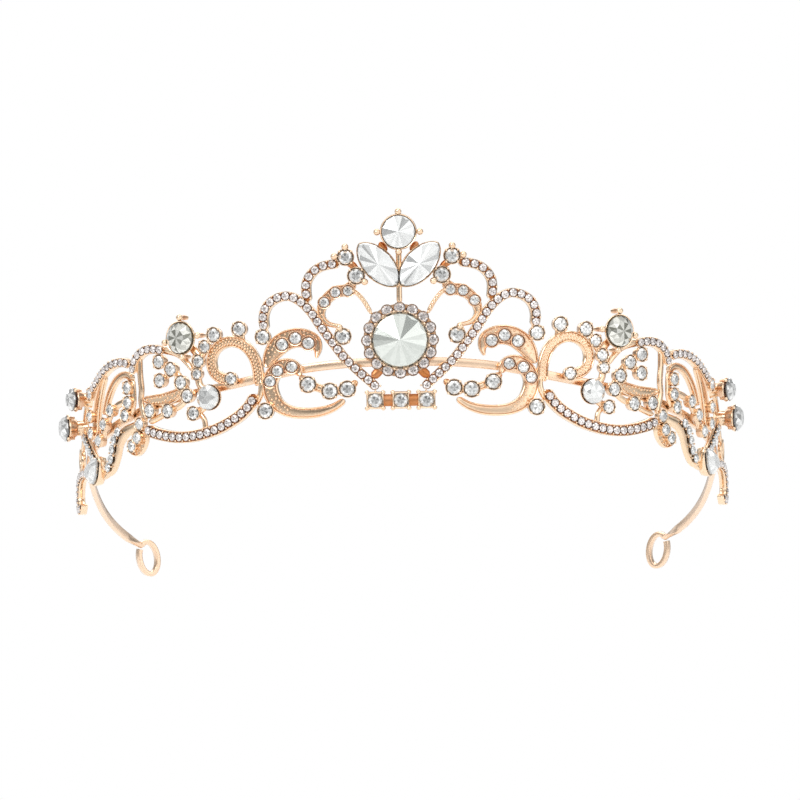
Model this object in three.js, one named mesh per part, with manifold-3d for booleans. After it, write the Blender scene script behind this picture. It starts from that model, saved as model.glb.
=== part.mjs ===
// Bridal tiara: rose-gold castings set with clear stones, soldered in front of a sprung flat-wire band.
// The ornament is drawn flat, as strokes on an unrolled pattern, and is then bent round the band.
// A pattern point is [arc, height]: arc runs along the band from its centre and height is above the
// base bar. Lift is how far something stands out from the bent pattern surface.
// Frame: +Z up, +X to the right seen from the front, which faces -Y. The origin is the head's centre.
import * as THREE from 'three';
import { mergeVertices } from 'three/addons/utils/BufferGeometryUtils.js';
import Module from 'manifold-3d';

const wasm = await Module();
wasm.setup();

// ---------- driving sizes, in millimetres and degrees ----------
const SIDE_ARC = 105; // along the band, from its centre to its widest point
const TAIL_ARC = 50; // from the widest point on to where the loop's bend begins
const BEND_POWER = 1.28; // over 1 makes the front flatter than the sides
const TAIL_TURN = 28; // how far the tails have turned in past straight back where the loops begin
const HEAD_DEPTH = 60; // from the front of the pattern back to the head's centre
const FRONT_RISE = 15; // the base bar's height above the head's centre

const BAND_WIDTH = 1.9;
const BAND_THICK = 1.2;
const BAND_TILT = 0.38; // the band drops this much for each millimetre that it runs back
const LOOP_HIGH = 7.9; // hairpin loop at each end, on the wire's centre line
const LOOP_WIDE = 4.6;
const LOOP_YAW = 25; // how far the loop's face is turned from straight ahead
const LOOP_LEAN = 10;
const LOOP_START = 0.62; // where round the loop the band joins it, in quarter turns past level
const LOOP_TURNS = 0.86; // how much of a full turn the loop makes

const CAST_DEPTH = 1.2; // thickness of every casting
const CUP_PROUD = 0.15; // a stone's cup stands this much proud of its casting, front and back
const TWIG_STEP = 0.1; // a side branch is this much thinner, front and back, than what carries it
const FIT_GAP = 0.3; // solder or cement gap between neighbours

const PAVE_STONE = 1.85;
const PAVE_TALL = 1.0;
const CHANNEL = 2.0; // width of a strip that carries a row of pave stones
const CUP_WALL = 0.4; // metal round a stone, outside its edge

const SMALL_STONE = 3.4; // prong-set stones
const MEDALLION_STONE = 12;
const HALO_STONE = 2.5;
const HALO_COUNT = 16;
const TOP_STONE = 7.4;
const LEAF_STONE = { length: 11.6, width: 6.0, turn: 48 };
const SIDE_STONE = 7.2;
const ROUND_STONE = 5.4;
const PEAR_STONE = { length: 6.6, width: 4.2, turn: 125 };
const OUTER_STONE = 6.0; // these two stand out on tall cups
const OUTER_RISE = 2.6;
const REAR_STONE = 5.2;
const REAR_RISE = 2.0;

const STATION = 3.0; // spacing of the sections along a stroke
const BAND_STATION = 8;
const LOOP_LEAD = 6; // plain band left out before the loop, where it bends up into it
const LOOP_STEPS = 12;
const CUP_SIDES = 8;
const SQUARE = 4;
const STONE_LIFT = CAST_DEPTH + CUP_PROUD + FIT_GAP;

const ROSE_GOLD = { color: '#dca98b', roughness: 0.22, metalness: 1.0 };
const CLEAR_STONE = { color: '#e9ecee', roughness: 0.05, metalness: 0.1 };
const SMOKY_STONE = { color: '#cfd2c8', roughness: 0.05, metalness: 0.1 };

// ---------- the pattern: stones and strokes of the right half, [arc, height, width] ----------
const MEDALLION_AT = [0, 12.7];
const MEDALLION_R = MEDALLION_STONE / 2 + HALO_STONE - 0.4;
const TOP_AT = [0, 32.0 + TOP_STONE / 2];
const LEAF_STONE_AT = [4.3, 28.8];
const SIDE_STONE_AT = [48.5, 10.5 + SIDE_STONE / 2];
const ROUND_STONE_AT = [41.7, 1.2];
const PEAR_AT = [79.3, -14.6];
const OUTER_STONE_AT = [91, -5.2];
const REAR_STONE_AT = [86.6, 1.2];

const CREST = [[28.9, 15.4], [29.1, 18.2], [28.2, 20.6], [26.1, 22.1], [23.6, 22.5], [21.3, 21.5],
  [18.9, 19.2], [16.9, 16.2], [14.4, 12.7], [11.6, 9.0], [8.8, 6.2], [6.4, 4.3], [4.5, 3.0]];
const CREST_ARCH = [[12.6, 29.2], [14.8, 29.0], [16.9, 28.4], [18.6, 27.1], [19.6, 25.2], [19.7, 23.2],
  [19.4, 21.2]];
const CURL = [[9.4, 25.2, 2], [11.2, 23.6, 2.5], [13.4, 23.2, 2.6], [15.4, 21.7, 2.4],
  [16.5, 19.8, 2.0], [16.5, 18.0, 1.5], [15.5, 16.7, 1.2], [14.0, 16.1, 1.0], [12.4, 15.9, 1.0]];
const CURL_TAIL = [[8.6, 25.2], [6.9, 22.4], [5.5, 20.1]];
const ARCH_LINK = [[11.0, 29.6], [9.6, 28.6], [9.0, 27.0]];
const UPPER_LEAF = [[17.8, 9.2, 0.5], [17.5, 11.0, 1.8], [18.3, 12.7, 3.2], [20.0, 13.4, 4.0],
  [22.2, 13.6, 4.2], [24.5, 13.0, 4.3], [26.4, 11.6, 4.2], [27.9, 9.6, 3.2], [29.0, 7.4, 1.4]];
const LOWER_LEAF = [[21.4, 5.4, 1.2], [22.0, 6.9, 2.4], [23.4, 7.6, 3.2], [25.3, 7.4, 3.4],
  [27.2, 6.0, 3.4], [28.0, 3.8, 3.4], [27.6, 1.4, 3.4], [26.1, -0.8, 3.0], [23.6, -2.1, 2.4],
  [20.3, -2.5, 2.0], [17.0, -2.2, 1.8], [14.2, -1.3, 1.6], [11.9, 0.2, 1.4]];
const LEAF_TAIL = [[9.2, 4.2, 1.4], [11.2, 2.6, 1.8], [14.9, 2.1, 1.8], [17.3, 2.8, 1.8],
  [19.5, 3.7, 1.8], [21.4, 5.4, 1.6]];
const LOOP_SCROLL = [[30.5, 3.5], [30.8, 7.4], [32.0, 10.4], [34.1, 12.4], [36.7, 13.1],
  [39.2, 12.5], [41.0, 10.9], [41.6, 8.6], [40.9, 6.5], [39.2, 5.3], [37.2, 4.8]];
const LOOP_STEM = [[34.2, 12.8], [34.5, 15.2]];
const CLUSTER_STEM = [[42.9, 12.1], [44.5, 9.0], [45.0, 6.3], [44.7, 4.0], [42.8, 2.4]];
const SIDE_STONE_STEM = [[44.2, 9.4], [46.2, 11.6], [48.0, 13.0]];
const LOW_STEM = [[43.0, -0.6], [45.8, -2.2]];
const SIDE_ARC_STROKE = [[31.2, 1.7], [32.3, -0.3], [34.5, -2.5], [37.2, -4.2], [40.2, -5.6],
  [43.5, -6.6], [47.0, -7.2], [50.5, -7.3], [54.0, -6.9], [57.0, -6.3], [59.4, -5.5]];
const ARC_STEM = [[43.4, -6.2], [43.6, -3.8], [44.6, -2.2]];
const SIDE_ARCH = [[46.4, 7.1, 1.1], [47.8, 8.7, 1.3], [49.9, 10.4, 1.4], [52.4, 11.3, 1.6],
  [55.0, 11.7, 1.9], [57.5, 11.9, 2], [60.0, 11.5, 2], [62.0, 10.3, 2], [63.2, 8.6, 2],
  [63.4, 6.8, 1.8]];
const ARCH_STEM = [[61.9, 10.2], [61.8, 6.4], [61.4, 3.2], [61.6, 0.6], [60.9, -2.0], [60.2, -4.0]];
const SPRAY_LEAF = [[48.2, 3.4, 1.4], [51.0, 1.9, 2.4], [54.0, 1.1, 2.6], [57.4, 0.8, 2.4],
  [60.2, 0.9, 1.6]];
const SPRAY_TWIG = [[54.9, 9.0], [51.7, 7.4], [49.0, 4.5], [47.4, 1.6]];
const SPRAY_FORK = [[51.7, 7.4], [54.8, 5.0]];
const LOW_TWIG = [[47.4, 1.4], [50.2, -0.7], [52.7, -1.6], [56.0, -3.0], [58.8, -4.0]];
const REAR_ARCH = [[64.8, 8.8], [67.2, 9.2], [69.6, 9.1], [72.0, 8.6], [74.5, 7.6], [76.8, 6.3],
  [78.8, 4.9], [81.4, 3.2]];
const REAR_FIELD = [[75.6, 6.4, 1.6], [77.9, 3.2, 2.4], [79.8, -0.4, 3.2], [80.6, -4.0, 3.2],
  [80.8, -7.2, 2.4]];
const INNER_ARCH = [[64.4, 5.4], [66.2, 6.4], [68.4, 6.2], [70.6, 5.2], [72.7, 3.3], [74.5, 0.8],
  [75.8, -2.2]];
const REAR_TWIG = [[66.6, 0.8], [70.0, -0.2], [72.2, -1.4], [75.3, -4.5], [77.6, -7.8]];
const LEAF_BACK = [[64.4, 5.4, 1.4], [64.3, 2.4, 2.0], [64.5, -0.4, 2.0], [66.2, -2.8, 1.6]];
const REAR_STEM = [[61.2, -4.2, 2.2], [64.4, -5.2, 2.4], [67.6, -6.4, 3.0], [69.9, -8.5, 3.6],
  [71.0, -11.2, 3.6], [72.6, -13.6, 3.4], [75.2, -15.4, 2.0]];
const REAR_LEAF = [[61.0, -4.6, 2.4], [61.2, -7.8, 3.4], [62.8, -9.9, 3.0], [65.4, -10.3, 1.2]];
const END_CHAIN = [[79.6, -14.0, 2.2], [81.9, -11.7, 2.2], [84.2, -9.9, 2.3], [87.4, -7.6, 2.4],
  [91, -5.2, 2.4]];
const END_TWIG = [[83.4, 1.8], [86.6, 1.2], [89.4, -2.2], [91, -5.2]];
const RING_STEM = [[91.8, -7.4], [94.6, -10.8]];
const END_CREST = [[82.8, -16.2, 1.6], [86.2, -15.5, 2.2], [90.0, -15.6, 2.4], [93.8, -16.6, 2.4],
  [97.0, -18.6, 2.4], [98.4, -21.2, 2.4], [97.0, -23.5, 2.2], [94.2, -23.9, 1.8],
  [92.0, -22.6, 1.2]];
const RING_AT = [95.6, -12.7];
const RING_OUTER = 2.9;
const RING_INNER = 1.7;
const BAND_HEIGHTS = [[0, 8.2], [10, 8.0], [20, 7.1], [30, 5.3], [40, 3.4], [50, 1.5], [60, -0.7]];

const cup = (at, stone = SMALL_STONE, sides = CUP_SIDES, rise = 0) => ({
  at, radius: stone / 2 + CUP_WALL, sides, rise,
});

// ---------- plan of the band and the bend of the pattern ----------
const QUARTER = Math.PI / 2;
const UP = new THREE.Vector3(0, 0, 1);
const PLAN_STEP = 0.5;
const LOOP_ARC = SIDE_ARC + TAIL_ARC;

function heading(arc) {
  if (arc <= SIDE_ARC) return QUARTER * (arc / SIDE_ARC) ** BEND_POWER;
  return QUARTER + THREE.MathUtils.degToRad(TAIL_TURN) * ((arc - SIDE_ARC) / TAIL_ARC) ** 2;
}

const plan = [new THREE.Vector2(0, 0)];
for (let arc = 0; arc < LOOP_ARC + 2 * PLAN_STEP; arc += PLAN_STEP) {
  const way = heading(arc + PLAN_STEP / 2);
  const step = new THREE.Vector2(Math.cos(way), Math.sin(way)).multiplyScalar(PLAN_STEP);
  plan.push(plan.at(-1).clone().add(step));
}

function planAt(arc) {
  const place = arc / PLAN_STEP;
  const first = Math.min(Math.floor(place), plan.length - 2);
  return plan[first].clone().lerp(plan[first + 1], place - first);
}

function bend(arc, height, lift) {
  const side = Math.sign(arc) || 1;
  const { x, y } = planAt(Math.abs(arc));
  const way = heading(Math.abs(arc));
  return new THREE.Vector3(side * (x + lift * Math.sin(way)), y - lift * Math.cos(way) - HEAD_DEPTH,
    height + FRONT_RISE);
}

// Axes of the surface at a pattern point: along the band, up, and out from the head.
function frameAt([arc, height], lift) {
  const way = Math.sign(arc) * heading(Math.abs(arc));
  const along = new THREE.Vector3(Math.cos(way), Math.sin(way), 0);
  const out = new THREE.Vector3(Math.sin(way), -Math.cos(way), 0);
  return new THREE.Matrix4().makeBasis(along, UP, out).setPosition(bend(arc, height, lift));
}

// ---------- solids ----------
function signedVolume(positions, index) {
  const [a, b, c] = [new THREE.Vector3(), new THREE.Vector3(), new THREE.Vector3()];
  let total = 0;
  for (let i = 0; i < index.length; i += 3) {
    a.fromArray(positions, 3 * index[i]);
    b.fromArray(positions, 3 * index[i + 1]);
    c.fromArray(positions, 3 * index[i + 2]);
    total += a.dot(b.cross(c)) / 6;
  }
  return total;
}

function toSolid(positions, index) {
  const faces = Uint32Array.from(index);
  if (signedVolume(positions, faces) < 0) faces.reverse();
  const vertProperties = Float32Array.from(positions);
  return new wasm.Manifold(new wasm.Mesh({ numProp: 3, vertProperties, triVerts: faces }));
}

function fromGeometry(geometry) {
  geometry.deleteAttribute('normal');
  geometry.deleteAttribute('uv');
  const merged = mergeVertices(geometry, 1e-4);
  return toSolid(merged.attributes.position.array, merged.index.array);
}

// Skins a row of equal loops of points and closes both ends.
function loft(sections) {
  const ring = sections[0].length;
  const positions = sections.flat().flatMap((point) => point.toArray());
  const index = [];
  for (let i = 0; i + 1 < sections.length; i += 1) {
    for (let j = 0; j < ring; j += 1) {
      const a = i * ring + j;
      const b = i * ring + (j + 1) % ring;
      index.push(a, b, a + ring, b, b + ring, a + ring);
    }
  }
  const last = (sections.length - 1) * ring;
  for (let j = 1; j + 1 < ring; j += 1) {
    index.push(0, j + 1, j, last, last + j, last + j + 1);
  }
  return toSolid(positions, index);
}

// The third coordinate of the path carries the stroke's width.
function pathOf(route, width) {
  const points = route.map(([arc, height, own]) => new THREE.Vector3(arc, height, own ?? width));
  return new THREE.CatmullRomCurve3(points, false, 'centripetal');
}

// A flat strip along a route; grow makes the larger copy that neighbours are cut back by.
function stroke({ route, width = CHANNEL, twig = 0 }, grow = 0) {
  const path = pathOf(route, width);
  const steps = Math.max(1, Math.ceil(path.getLength() / STATION));
  const sections = [];
  for (let i = 0; i <= steps; i += 1) {
    const at = path.getPointAt(i / steps);
    const way = path.getTangentAt(i / steps).setZ(0).normalize();
    const end = (i === steps) - (i === 0);
    const half = at.z / 2 + grow;
    const [low, high] = [twig * TWIG_STEP - grow, CAST_DEPTH - twig * TWIG_STEP + grow];
    sections.push([[-half, low], [half, low], [half, high], [-half, high]].map(([across, up]) => bend(
      at.x + way.x * end * grow - way.y * across,
      at.y + way.y * end * grow + way.x * across,
      up,
    )));
  }
  return loft(sections);
}

function disc({ at, radius, sides = CUP_SIDES, rise = 0, hole = false }, grow = 0) {
  const edge = hole ? radius - grow : radius + grow;
  const depth = CAST_DEPTH + 2 * CUP_PROUD + rise + 2 * (hole ? 1 : grow);
  const geometry = new THREE.CylinderGeometry(edge, edge, depth, sides).rotateX(QUARTER);
  if (sides === SQUARE) geometry.rotateZ(QUARTER / 2);
  return fromGeometry(geometry.applyMatrix4(frameAt(at, (CAST_DEPTH + rise) / 2)));
}

const round = (size) => (angle) => [Math.cos(angle) * size / 2, Math.sin(angle) * size / 2];

const oval = (length, width, point) => (angle) => {
  const side = Math.sin(angle);
  return [Math.cos(angle) * length / 2, Math.sign(side) * Math.abs(side) ** point * width / 2];
};

const pear = (length, width) => (angle) => {
  const narrow = 1 - 0.35 * Math.cos(angle);
  return [Math.cos(angle) * length / 2, Math.sin(angle) * narrow * width / 2];
};

const scallop = (radius, bump, count) => (angle) => {
  const edge = radius - bump * (1 - Math.abs(Math.cos(angle * count / 2)));
  return [Math.cos(angle) * edge, Math.sin(angle) * edge];
};

// Stacks scaled copies of an outline; each level is [lift, scale].
function stack(at, outline, levels, { turn = 0, count = 12 } = {}) {
  const spin = THREE.MathUtils.degToRad(turn);
  return loft(levels.map(([lift, scale]) => Array.from({ length: count }, (_, i) => {
    const [u, v] = outline(2 * Math.PI * i / count);
    const flat = new THREE.Vector3(u * scale, v * scale, 0);
    return flat.applyAxisAngle(UP, spin).applyMatrix4(frameAt(at, lift));
  })));
}

// Levels of a stone from its flat back, over its widest edge, to its table or point.
const TABLE = 0.55;
const stoneLevels = (tall, table = TABLE, rise = 0) => [[0, 0.6], [tall * 0.35, 1], [tall, table]]
  .map(([up, size]) => [STONE_LIFT + rise + up, size]);

// A row of touching pave stones with the cement that joins them, on the middle part of a route.
function paveRow(route, from = 0, to = 1) {
  const path = pathOf(route, PAVE_STONE);
  const start = path.getLength() * from;
  const run = path.getLength() * to - start;
  const count = Math.round(run / PAVE_STONE);
  const sections = [];
  const section = (distance, wide, tall) => {
    const t = (start + distance) / path.getLength();
    const at = path.getPointAt(t);
    const way = path.getTangentAt(t).setZ(0).normalize();
    const half = wide / 2;
    const corners = [[-half, 0], [half, 0], [half * 0.6, tall], [-half * 0.6, tall]];
    sections.push(corners.map(([across, up]) => bend(at.x - way.y * across, at.y + way.x * across,
      STONE_LIFT + up)));
  };
  const pitch = run / count;
  for (let i = 0; i < count; i += 1) {
    section(i * pitch, PAVE_STONE * 0.6, PAVE_TALL * 0.5);
    section((i + 0.5) * pitch, PAVE_STONE, PAVE_TALL);
  }
  section(run, PAVE_STONE * 0.6, PAVE_TALL * 0.5);
  return loft(sections);
}

// ---------- the band: half of it, from the centre to the end of its loop, then mirrored ----------
function bandHeight(arc) {
  const last = BAND_HEIGHTS.at(-1);
  if (arc >= last[0]) return last[1] - BAND_TILT * (planAt(arc).y - planAt(last[0]).y);
  const path = pathOf(BAND_HEIGHTS, 0);
  return path.getPoint(arc / last[0]).y;
}

function bandSections() {
  const lift = -CUP_PROUD - FIT_GAP - BAND_THICK / 2;
  const route = [];
  for (let arc = 0; arc < LOOP_ARC - LOOP_LEAD; arc += BAND_STATION) {
    route.push({ at: bend(arc, bandHeight(arc), lift), wide: UP });
  }
  const yaw = THREE.MathUtils.degToRad(LOOP_YAW);
  const lean = THREE.MathUtils.degToRad(LOOP_LEAN);
  const axis = new THREE.Vector3(Math.sin(yaw), Math.cos(yaw), 0);
  const across = new THREE.Vector3(Math.cos(yaw), -Math.sin(yaw), 0);
  const up = UP.clone().applyAxisAngle(axis, lean);
  const side = across.clone().applyAxisAngle(axis, lean);
  const reach = bend(LOOP_ARC, bandHeight(LOOP_ARC), lift);
  const first = QUARTER * LOOP_START;
  const centre = reach.clone()
    .addScaledVector(side, -Math.cos(first) * LOOP_WIDE / 2)
    .addScaledVector(up, -Math.sin(first) * LOOP_HIGH / 2);
  for (let i = 0; i <= LOOP_STEPS; i += 1) {
    const angle = first + 4 * QUARTER * LOOP_TURNS * i / LOOP_STEPS;
    const at = centre.clone()
      .addScaledVector(side, Math.cos(angle) * LOOP_WIDE / 2)
      .addScaledVector(up, Math.sin(angle) * LOOP_HIGH / 2);
    route.push({ at, wide: axis, loop: true });
  }
  return route.map(({ at, wide, loop }, i) => {
    const before = route[Math.max(i - 1, 0)].at;
    const after = route[Math.min(i + 1, route.length - 1)].at;
    const way = after.clone().sub(before).normalize();
    if (i === 0) way.set(1, 0, 0);
    const thick = new THREE.Vector3().crossVectors(way, wide).normalize().multiplyScalar(BAND_THICK / 2);
    const broad = loop ? wide.clone() : new THREE.Vector3().crossVectors(thick, way).normalize();
    broad.multiplyScalar(BAND_WIDTH / 2);
    return [[-1, -1], [1, -1], [1, 1], [-1, 1]].map(([w, t]) => at.clone()
      .addScaledVector(broad, w).addScaledVector(thick, t));
  });
}

function band() {
  const half = bandSections();
  const mirrored = half.slice(1).reverse()
    .map((section) => section.map(({ x, y, z }) => new THREE.Vector3(-x, y, z)));
  return loft([...mirrored, ...half]);
}

// ---------- castings, in the order in which each is cut back by the ones before it ----------
const LEAF_TAIL_CUPS = [[11.2, 2.5], [14.9, 2.1], [19.5, 3.6]];
const SPRAY_CUPS = [[55, 9.1], [51.7, 7.4], [54.8, 5.0], [49, 4.5], [47.4, 1.6], [52.7, -1.6], [58, -1.5]];
const REAR_CUPS = [[65.4, 3.6], [65.3, 0.3], [66.3, -2.5], [72.1, -1.3], [75.3, -4.4], [77.8, -8.0]];
const REAR_FIELD_CUPS = [[82.8, 2.3], [82.7, -2.6], [82.2, -6.4]];
const REAR_LEAF_CUPS = [[61.4, -4.4], [62.3, -7.4], [64.1, -9.2]];

const centreCastings = {
  medallion_setting: {
    rims: [{ at: MEDALLION_AT, outline: scallop(MEDALLION_R, 0.35, HALO_COUNT), count: 2 * HALO_COUNT }],
    strokes: [{ route: [[3.6, 7.4], [4.7, 5.6]], width: 2.2, mirror: true }],
  },
  top_setting: {
    rims: [{
      at: LEAF_STONE_AT,
      outline: oval(LEAF_STONE.length + 2 * CUP_WALL, LEAF_STONE.width + 2 * CUP_WALL, 1.25),
      turn: LEAF_STONE.turn,
      count: 16,
      mirror: true,
    }],
    strokes: [{
      route: [[0, MEDALLION_AT[1] + MEDALLION_R + FIT_GAP], [0, TOP_AT[1]]], width: 1.2, twig: 1,
    }],
    discs: [cup(TOP_AT, TOP_STONE, 16)],
  },
  base_bar: {
    strokes: [{ route: [[-6, 0], [6, 0]], width: 2.0 }],
    discs: [-5.4, 0, 5.4].map((arc) => ({ at: [arc, 0], radius: 2.5, sides: SQUARE })),
  },
};

const sideCastings = {
  crest_scroll: { strokes: [{ route: CREST }], discs: [cup([29.2, 13.9], 3.2)] },
  crest_arches: {
    strokes: [{ route: CREST_ARCH }, { route: CURL }, { route: CURL_TAIL, width: 1.0, twig: 1 },
      { route: ARCH_LINK, width: 1.6, twig: 1 }],
    discs: [cup([11.2, 30.5]), cup([9, 26.5]), cup([12, 13.7])],
  },
  upper_leaf: { strokes: [{ route: UPPER_LEAF }] },
  lower_leaf: {
    strokes: [{ route: LOWER_LEAF }, { route: LEAF_TAIL, twig: 1 }],
    discs: [...LEAF_TAIL_CUPS, [28.8, -1.9]].map((at) => cup(at)),
  },
  loop_scroll: {
    strokes: [{ route: LOOP_SCROLL, width: 2.4 }, { route: LOOP_STEM, width: 1.4, twig: 1 }],
    discs: [cup([34.5, 15.7], 3.2), cup([40.5, 14.6], 3.2), cup([36.7, 5.1], 2.8)],
  },
  side_cluster: {
    strokes: [{ route: CLUSTER_STEM, width: 1.6 }, { route: SIDE_STONE_STEM, width: 1.8, twig: 1 },
      { route: LOW_STEM, width: 1.6, twig: 1 }],
    discs: [cup(SIDE_STONE_AT, SIDE_STONE, 14), cup(ROUND_STONE_AT, ROUND_STONE, 12),
      cup([42.9, 12.1], 2.8), cup([44.5, 9.0], 2.9), cup([45.0, 6.3], 2.6), cup([45.9, -2.2], 3)],
  },
  side_arch: { strokes: [{ route: SIDE_ARCH }, { route: ARCH_STEM, width: 1.5, twig: 1 }] },
  spray_branch: {
    strokes: [{ route: SPRAY_LEAF }, { route: SPRAY_TWIG, width: 1.6, twig: 1 },
      { route: SPRAY_FORK, width: 1.6, twig: 2 }, { route: LOW_TWIG, width: 1.4, twig: 1 }],
    discs: SPRAY_CUPS.map((at) => cup(at, 3.1)),
  },
  side_arc: {
    strokes: [{ route: SIDE_ARC_STROKE, width: 2.5 }, { route: ARC_STEM, width: 1.2, twig: 1 }],
  },
  rear_arch: {
    strokes: [{ route: REAR_ARCH }, { route: REAR_FIELD, twig: 1 }],
    discs: REAR_FIELD_CUPS.map((at) => cup(at, 2.9)),
  },
  rear_scroll: {
    strokes: [{ route: INNER_ARCH, width: 1.6 }, { route: REAR_TWIG, width: 1.6, twig: 1 },
      { route: LEAF_BACK, twig: 2 }],
    discs: REAR_CUPS.map((at) => cup(at, 2.9)),
  },
  rear_stem: {
    strokes: [{ route: REAR_STEM }, { route: REAR_LEAF, twig: 1 }],
    discs: REAR_LEAF_CUPS.map((at) => cup(at, 2.8)),
  },
  end_spray: {
    rims: [{
      at: PEAR_AT,
      outline: pear(PEAR_STONE.length + 2 * CUP_WALL, PEAR_STONE.width + 2 * CUP_WALL),
      turn: PEAR_STONE.turn,
      count: 14,
    }],
    strokes: [{ route: END_CHAIN }, { route: END_TWIG, width: 1.8, twig: 1 },
      { route: RING_STEM, width: 1.6, twig: 2 }],
    discs: [cup(OUTER_STONE_AT, OUTER_STONE, 10, OUTER_RISE),
      cup(REAR_STONE_AT, REAR_STONE, 10, REAR_RISE),
      { at: RING_AT, radius: RING_OUTER, sides: 14 }],
    holes: [{ at: RING_AT, radius: RING_INNER, sides: 12, hole: true }],
  },
  end_crest: { strokes: [{ route: END_CREST }] },
};

// The mirror twin of a pattern piece, for castings that cross the centre.
const twin = (piece) => {
  if (piece.route) return { ...piece, route: piece.route.map(([arc, height]) => [-arc, height]) };
  return { ...piece, at: [-piece.at[0], piece.at[1]], turn: 180 - piece.turn };
};
const withTwins = (pieces = []) => pieces.flatMap((piece) => (piece.mirror ? [piece, twin(piece)] : [piece]));

function rim({ at, outline, turn, count }, grow) {
  const reach = Math.hypot(...outline(0));
  const scale = 1 + grow / reach;
  const levels = [-CUP_PROUD - grow, CAST_DEPTH + CUP_PROUD + grow];
  return stack(at, outline, levels.map((lift) => [lift, scale]), { turn, count });
}

function buildCasting({ rims, strokes, discs = [], holes = [] }, grow = 0) {
  const solids = [
    ...withTwins(rims).map((piece) => rim(piece, grow)),
    ...withTwins(strokes).map((piece) => stroke(piece, grow)),
    ...discs.map((piece) => disc(piece, grow)),
  ];
  const joined = solids.reduce((whole, solid) => whole.add(solid));
  return holes.reduce((whole, piece) => whole.subtract(disc(piece, grow)), joined);
}

function near(a, b) {
  const [p, q] = [a.boundingBox(), b.boundingBox()];
  return [0, 1, 2].every((axis) => p.min[axis] <= q.max[axis] && q.min[axis] <= p.max[axis]);
}

const keepOut = [];
function fitCasting(casting) {
  const fitted = keepOut.reduce(
    (solid, other) => (near(solid, other) ? solid.subtract(other) : solid),
    buildCasting(casting),
  );
  keepOut.push(buildCasting(casting, FIT_GAP));
  return fitted;
}

// ---------- stones of the right half and the centre ----------
function haloStones() {
  const outer = stack(MEDALLION_AT, scallop(MEDALLION_R, 0.5, HALO_COUNT),
    [[STONE_LIFT, 1], [STONE_LIFT + 1.2, 0.93]], { count: 2 * HALO_COUNT });
  const inner = MEDALLION_STONE / 2 + FIT_GAP;
  const core = stack(MEDALLION_AT, round(2 * inner), [[0, 1], [STONE_LIFT + 3, 1]], { count: 16 });
  return outer.subtract(core);
}

const leafStone = (mirror) => stack(
  [mirror * LEAF_STONE_AT[0], LEAF_STONE_AT[1]],
  oval(LEAF_STONE.length, LEAF_STONE.width, 1.25),
  stoneLevels(2.6),
  { turn: mirror > 0 ? LEAF_STONE.turn : 180 - LEAF_STONE.turn, count: 16 },
);

const sideStones = {
  crest_pave: () => paveRow(CREST, 0, 1),
  arch_pave: () => paveRow(CREST_ARCH, 0.06, 0.88),
  side_stone: () => stack(SIDE_STONE_AT, round(SIDE_STONE), stoneLevels(2.8), { count: 14 }),
  round_stone: () => stack(ROUND_STONE_AT, round(ROUND_STONE), stoneLevels(2.2), { count: 12 }),
  side_arc_pave: () => paveRow(SIDE_ARC_STROKE, 0.02, 1),
  side_arch_pave: () => paveRow(SIDE_ARCH, 0.42, 1),
  rear_arch_pave: () => paveRow(REAR_ARCH),
  pear_stone: () => stack(PEAR_AT, pear(PEAR_STONE.length, PEAR_STONE.width), stoneLevels(2.0),
    { turn: PEAR_STONE.turn, count: 14 }),
  outer_stone: () => stack(OUTER_STONE_AT, round(OUTER_STONE), stoneLevels(2.6, TABLE, OUTER_RISE),
    { count: 12 }),
  rear_stone: () => stack(REAR_STONE_AT, round(REAR_STONE), stoneLevels(2.4, TABLE, REAR_RISE),
    { count: 12 }),
  end_pave: () => paveRow(END_CREST, 0.08, 0.9),
};

// ---------- the assembly ----------
const tiara = new THREE.Group();

function addMesh(name, solid, finish, mirror = false) {
  const { vertProperties, triVerts } = solid.getMesh();
  const geometry = new THREE.BufferGeometry();
  const index = Uint32Array.from(triVerts);
  geometry.setAttribute('position', new THREE.BufferAttribute(Float32Array.from(vertProperties), 3));
  if (mirror) {
    geometry.scale(-1, 1, 1);
    index.reverse();
  }
  geometry.setIndex(new THREE.BufferAttribute(index, 1));
  geometry.computeVertexNormals();
  const mesh = new THREE.Mesh(geometry, new THREE.MeshStandardMaterial(finish));
  mesh.name = name;
  tiara.add(mesh);
}

function addPair(name, solid, finish) {
  addMesh(`${name}_right`, solid, finish);
  addMesh(`${name}_left`, solid, finish, true);
}

addMesh('band_wire', band(), ROSE_GOLD);
for (const [name, casting] of Object.entries(centreCastings)) {
  addMesh(name, fitCasting(casting), ROSE_GOLD);
}
for (const [name, casting] of Object.entries(sideCastings)) {
  addPair(name, fitCasting(casting), ROSE_GOLD);
}

const pointedStone = stack(MEDALLION_AT, round(MEDALLION_STONE), stoneLevels(3.4, 0.06), { count: 20 });
addMesh('medallion_stone', pointedStone, CLEAR_STONE);
addMesh('halo_stones', haloStones(), CLEAR_STONE);
addMesh('top_stone', stack(TOP_AT, round(TOP_STONE), stoneLevels(2.8), { count: 14 }), CLEAR_STONE);
addMesh('leaf_stone_right', leafStone(1), CLEAR_STONE);
addMesh('leaf_stone_left', leafStone(-1), CLEAR_STONE);
for (const [name, make] of Object.entries(sideStones)) {
  addPair(name, make(), name === 'side_stone' ? SMOKY_STONE : CLEAR_STONE);
}

export default tiara;
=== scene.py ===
"""Bridal tiara: rose-gold castings set with clear stones, in front of a sprung flat-wire band.

Everything is laid out flat on the frame's unrolled pattern, in millimetres: arc along the band
from its centre, height above the base bar, and lift out from the head. Finished shells are bent
round the head, brought to metres and mirrored for the left half.
"""

import math

import bpy
import numpy as np
from mathutils import Matrix


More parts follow.
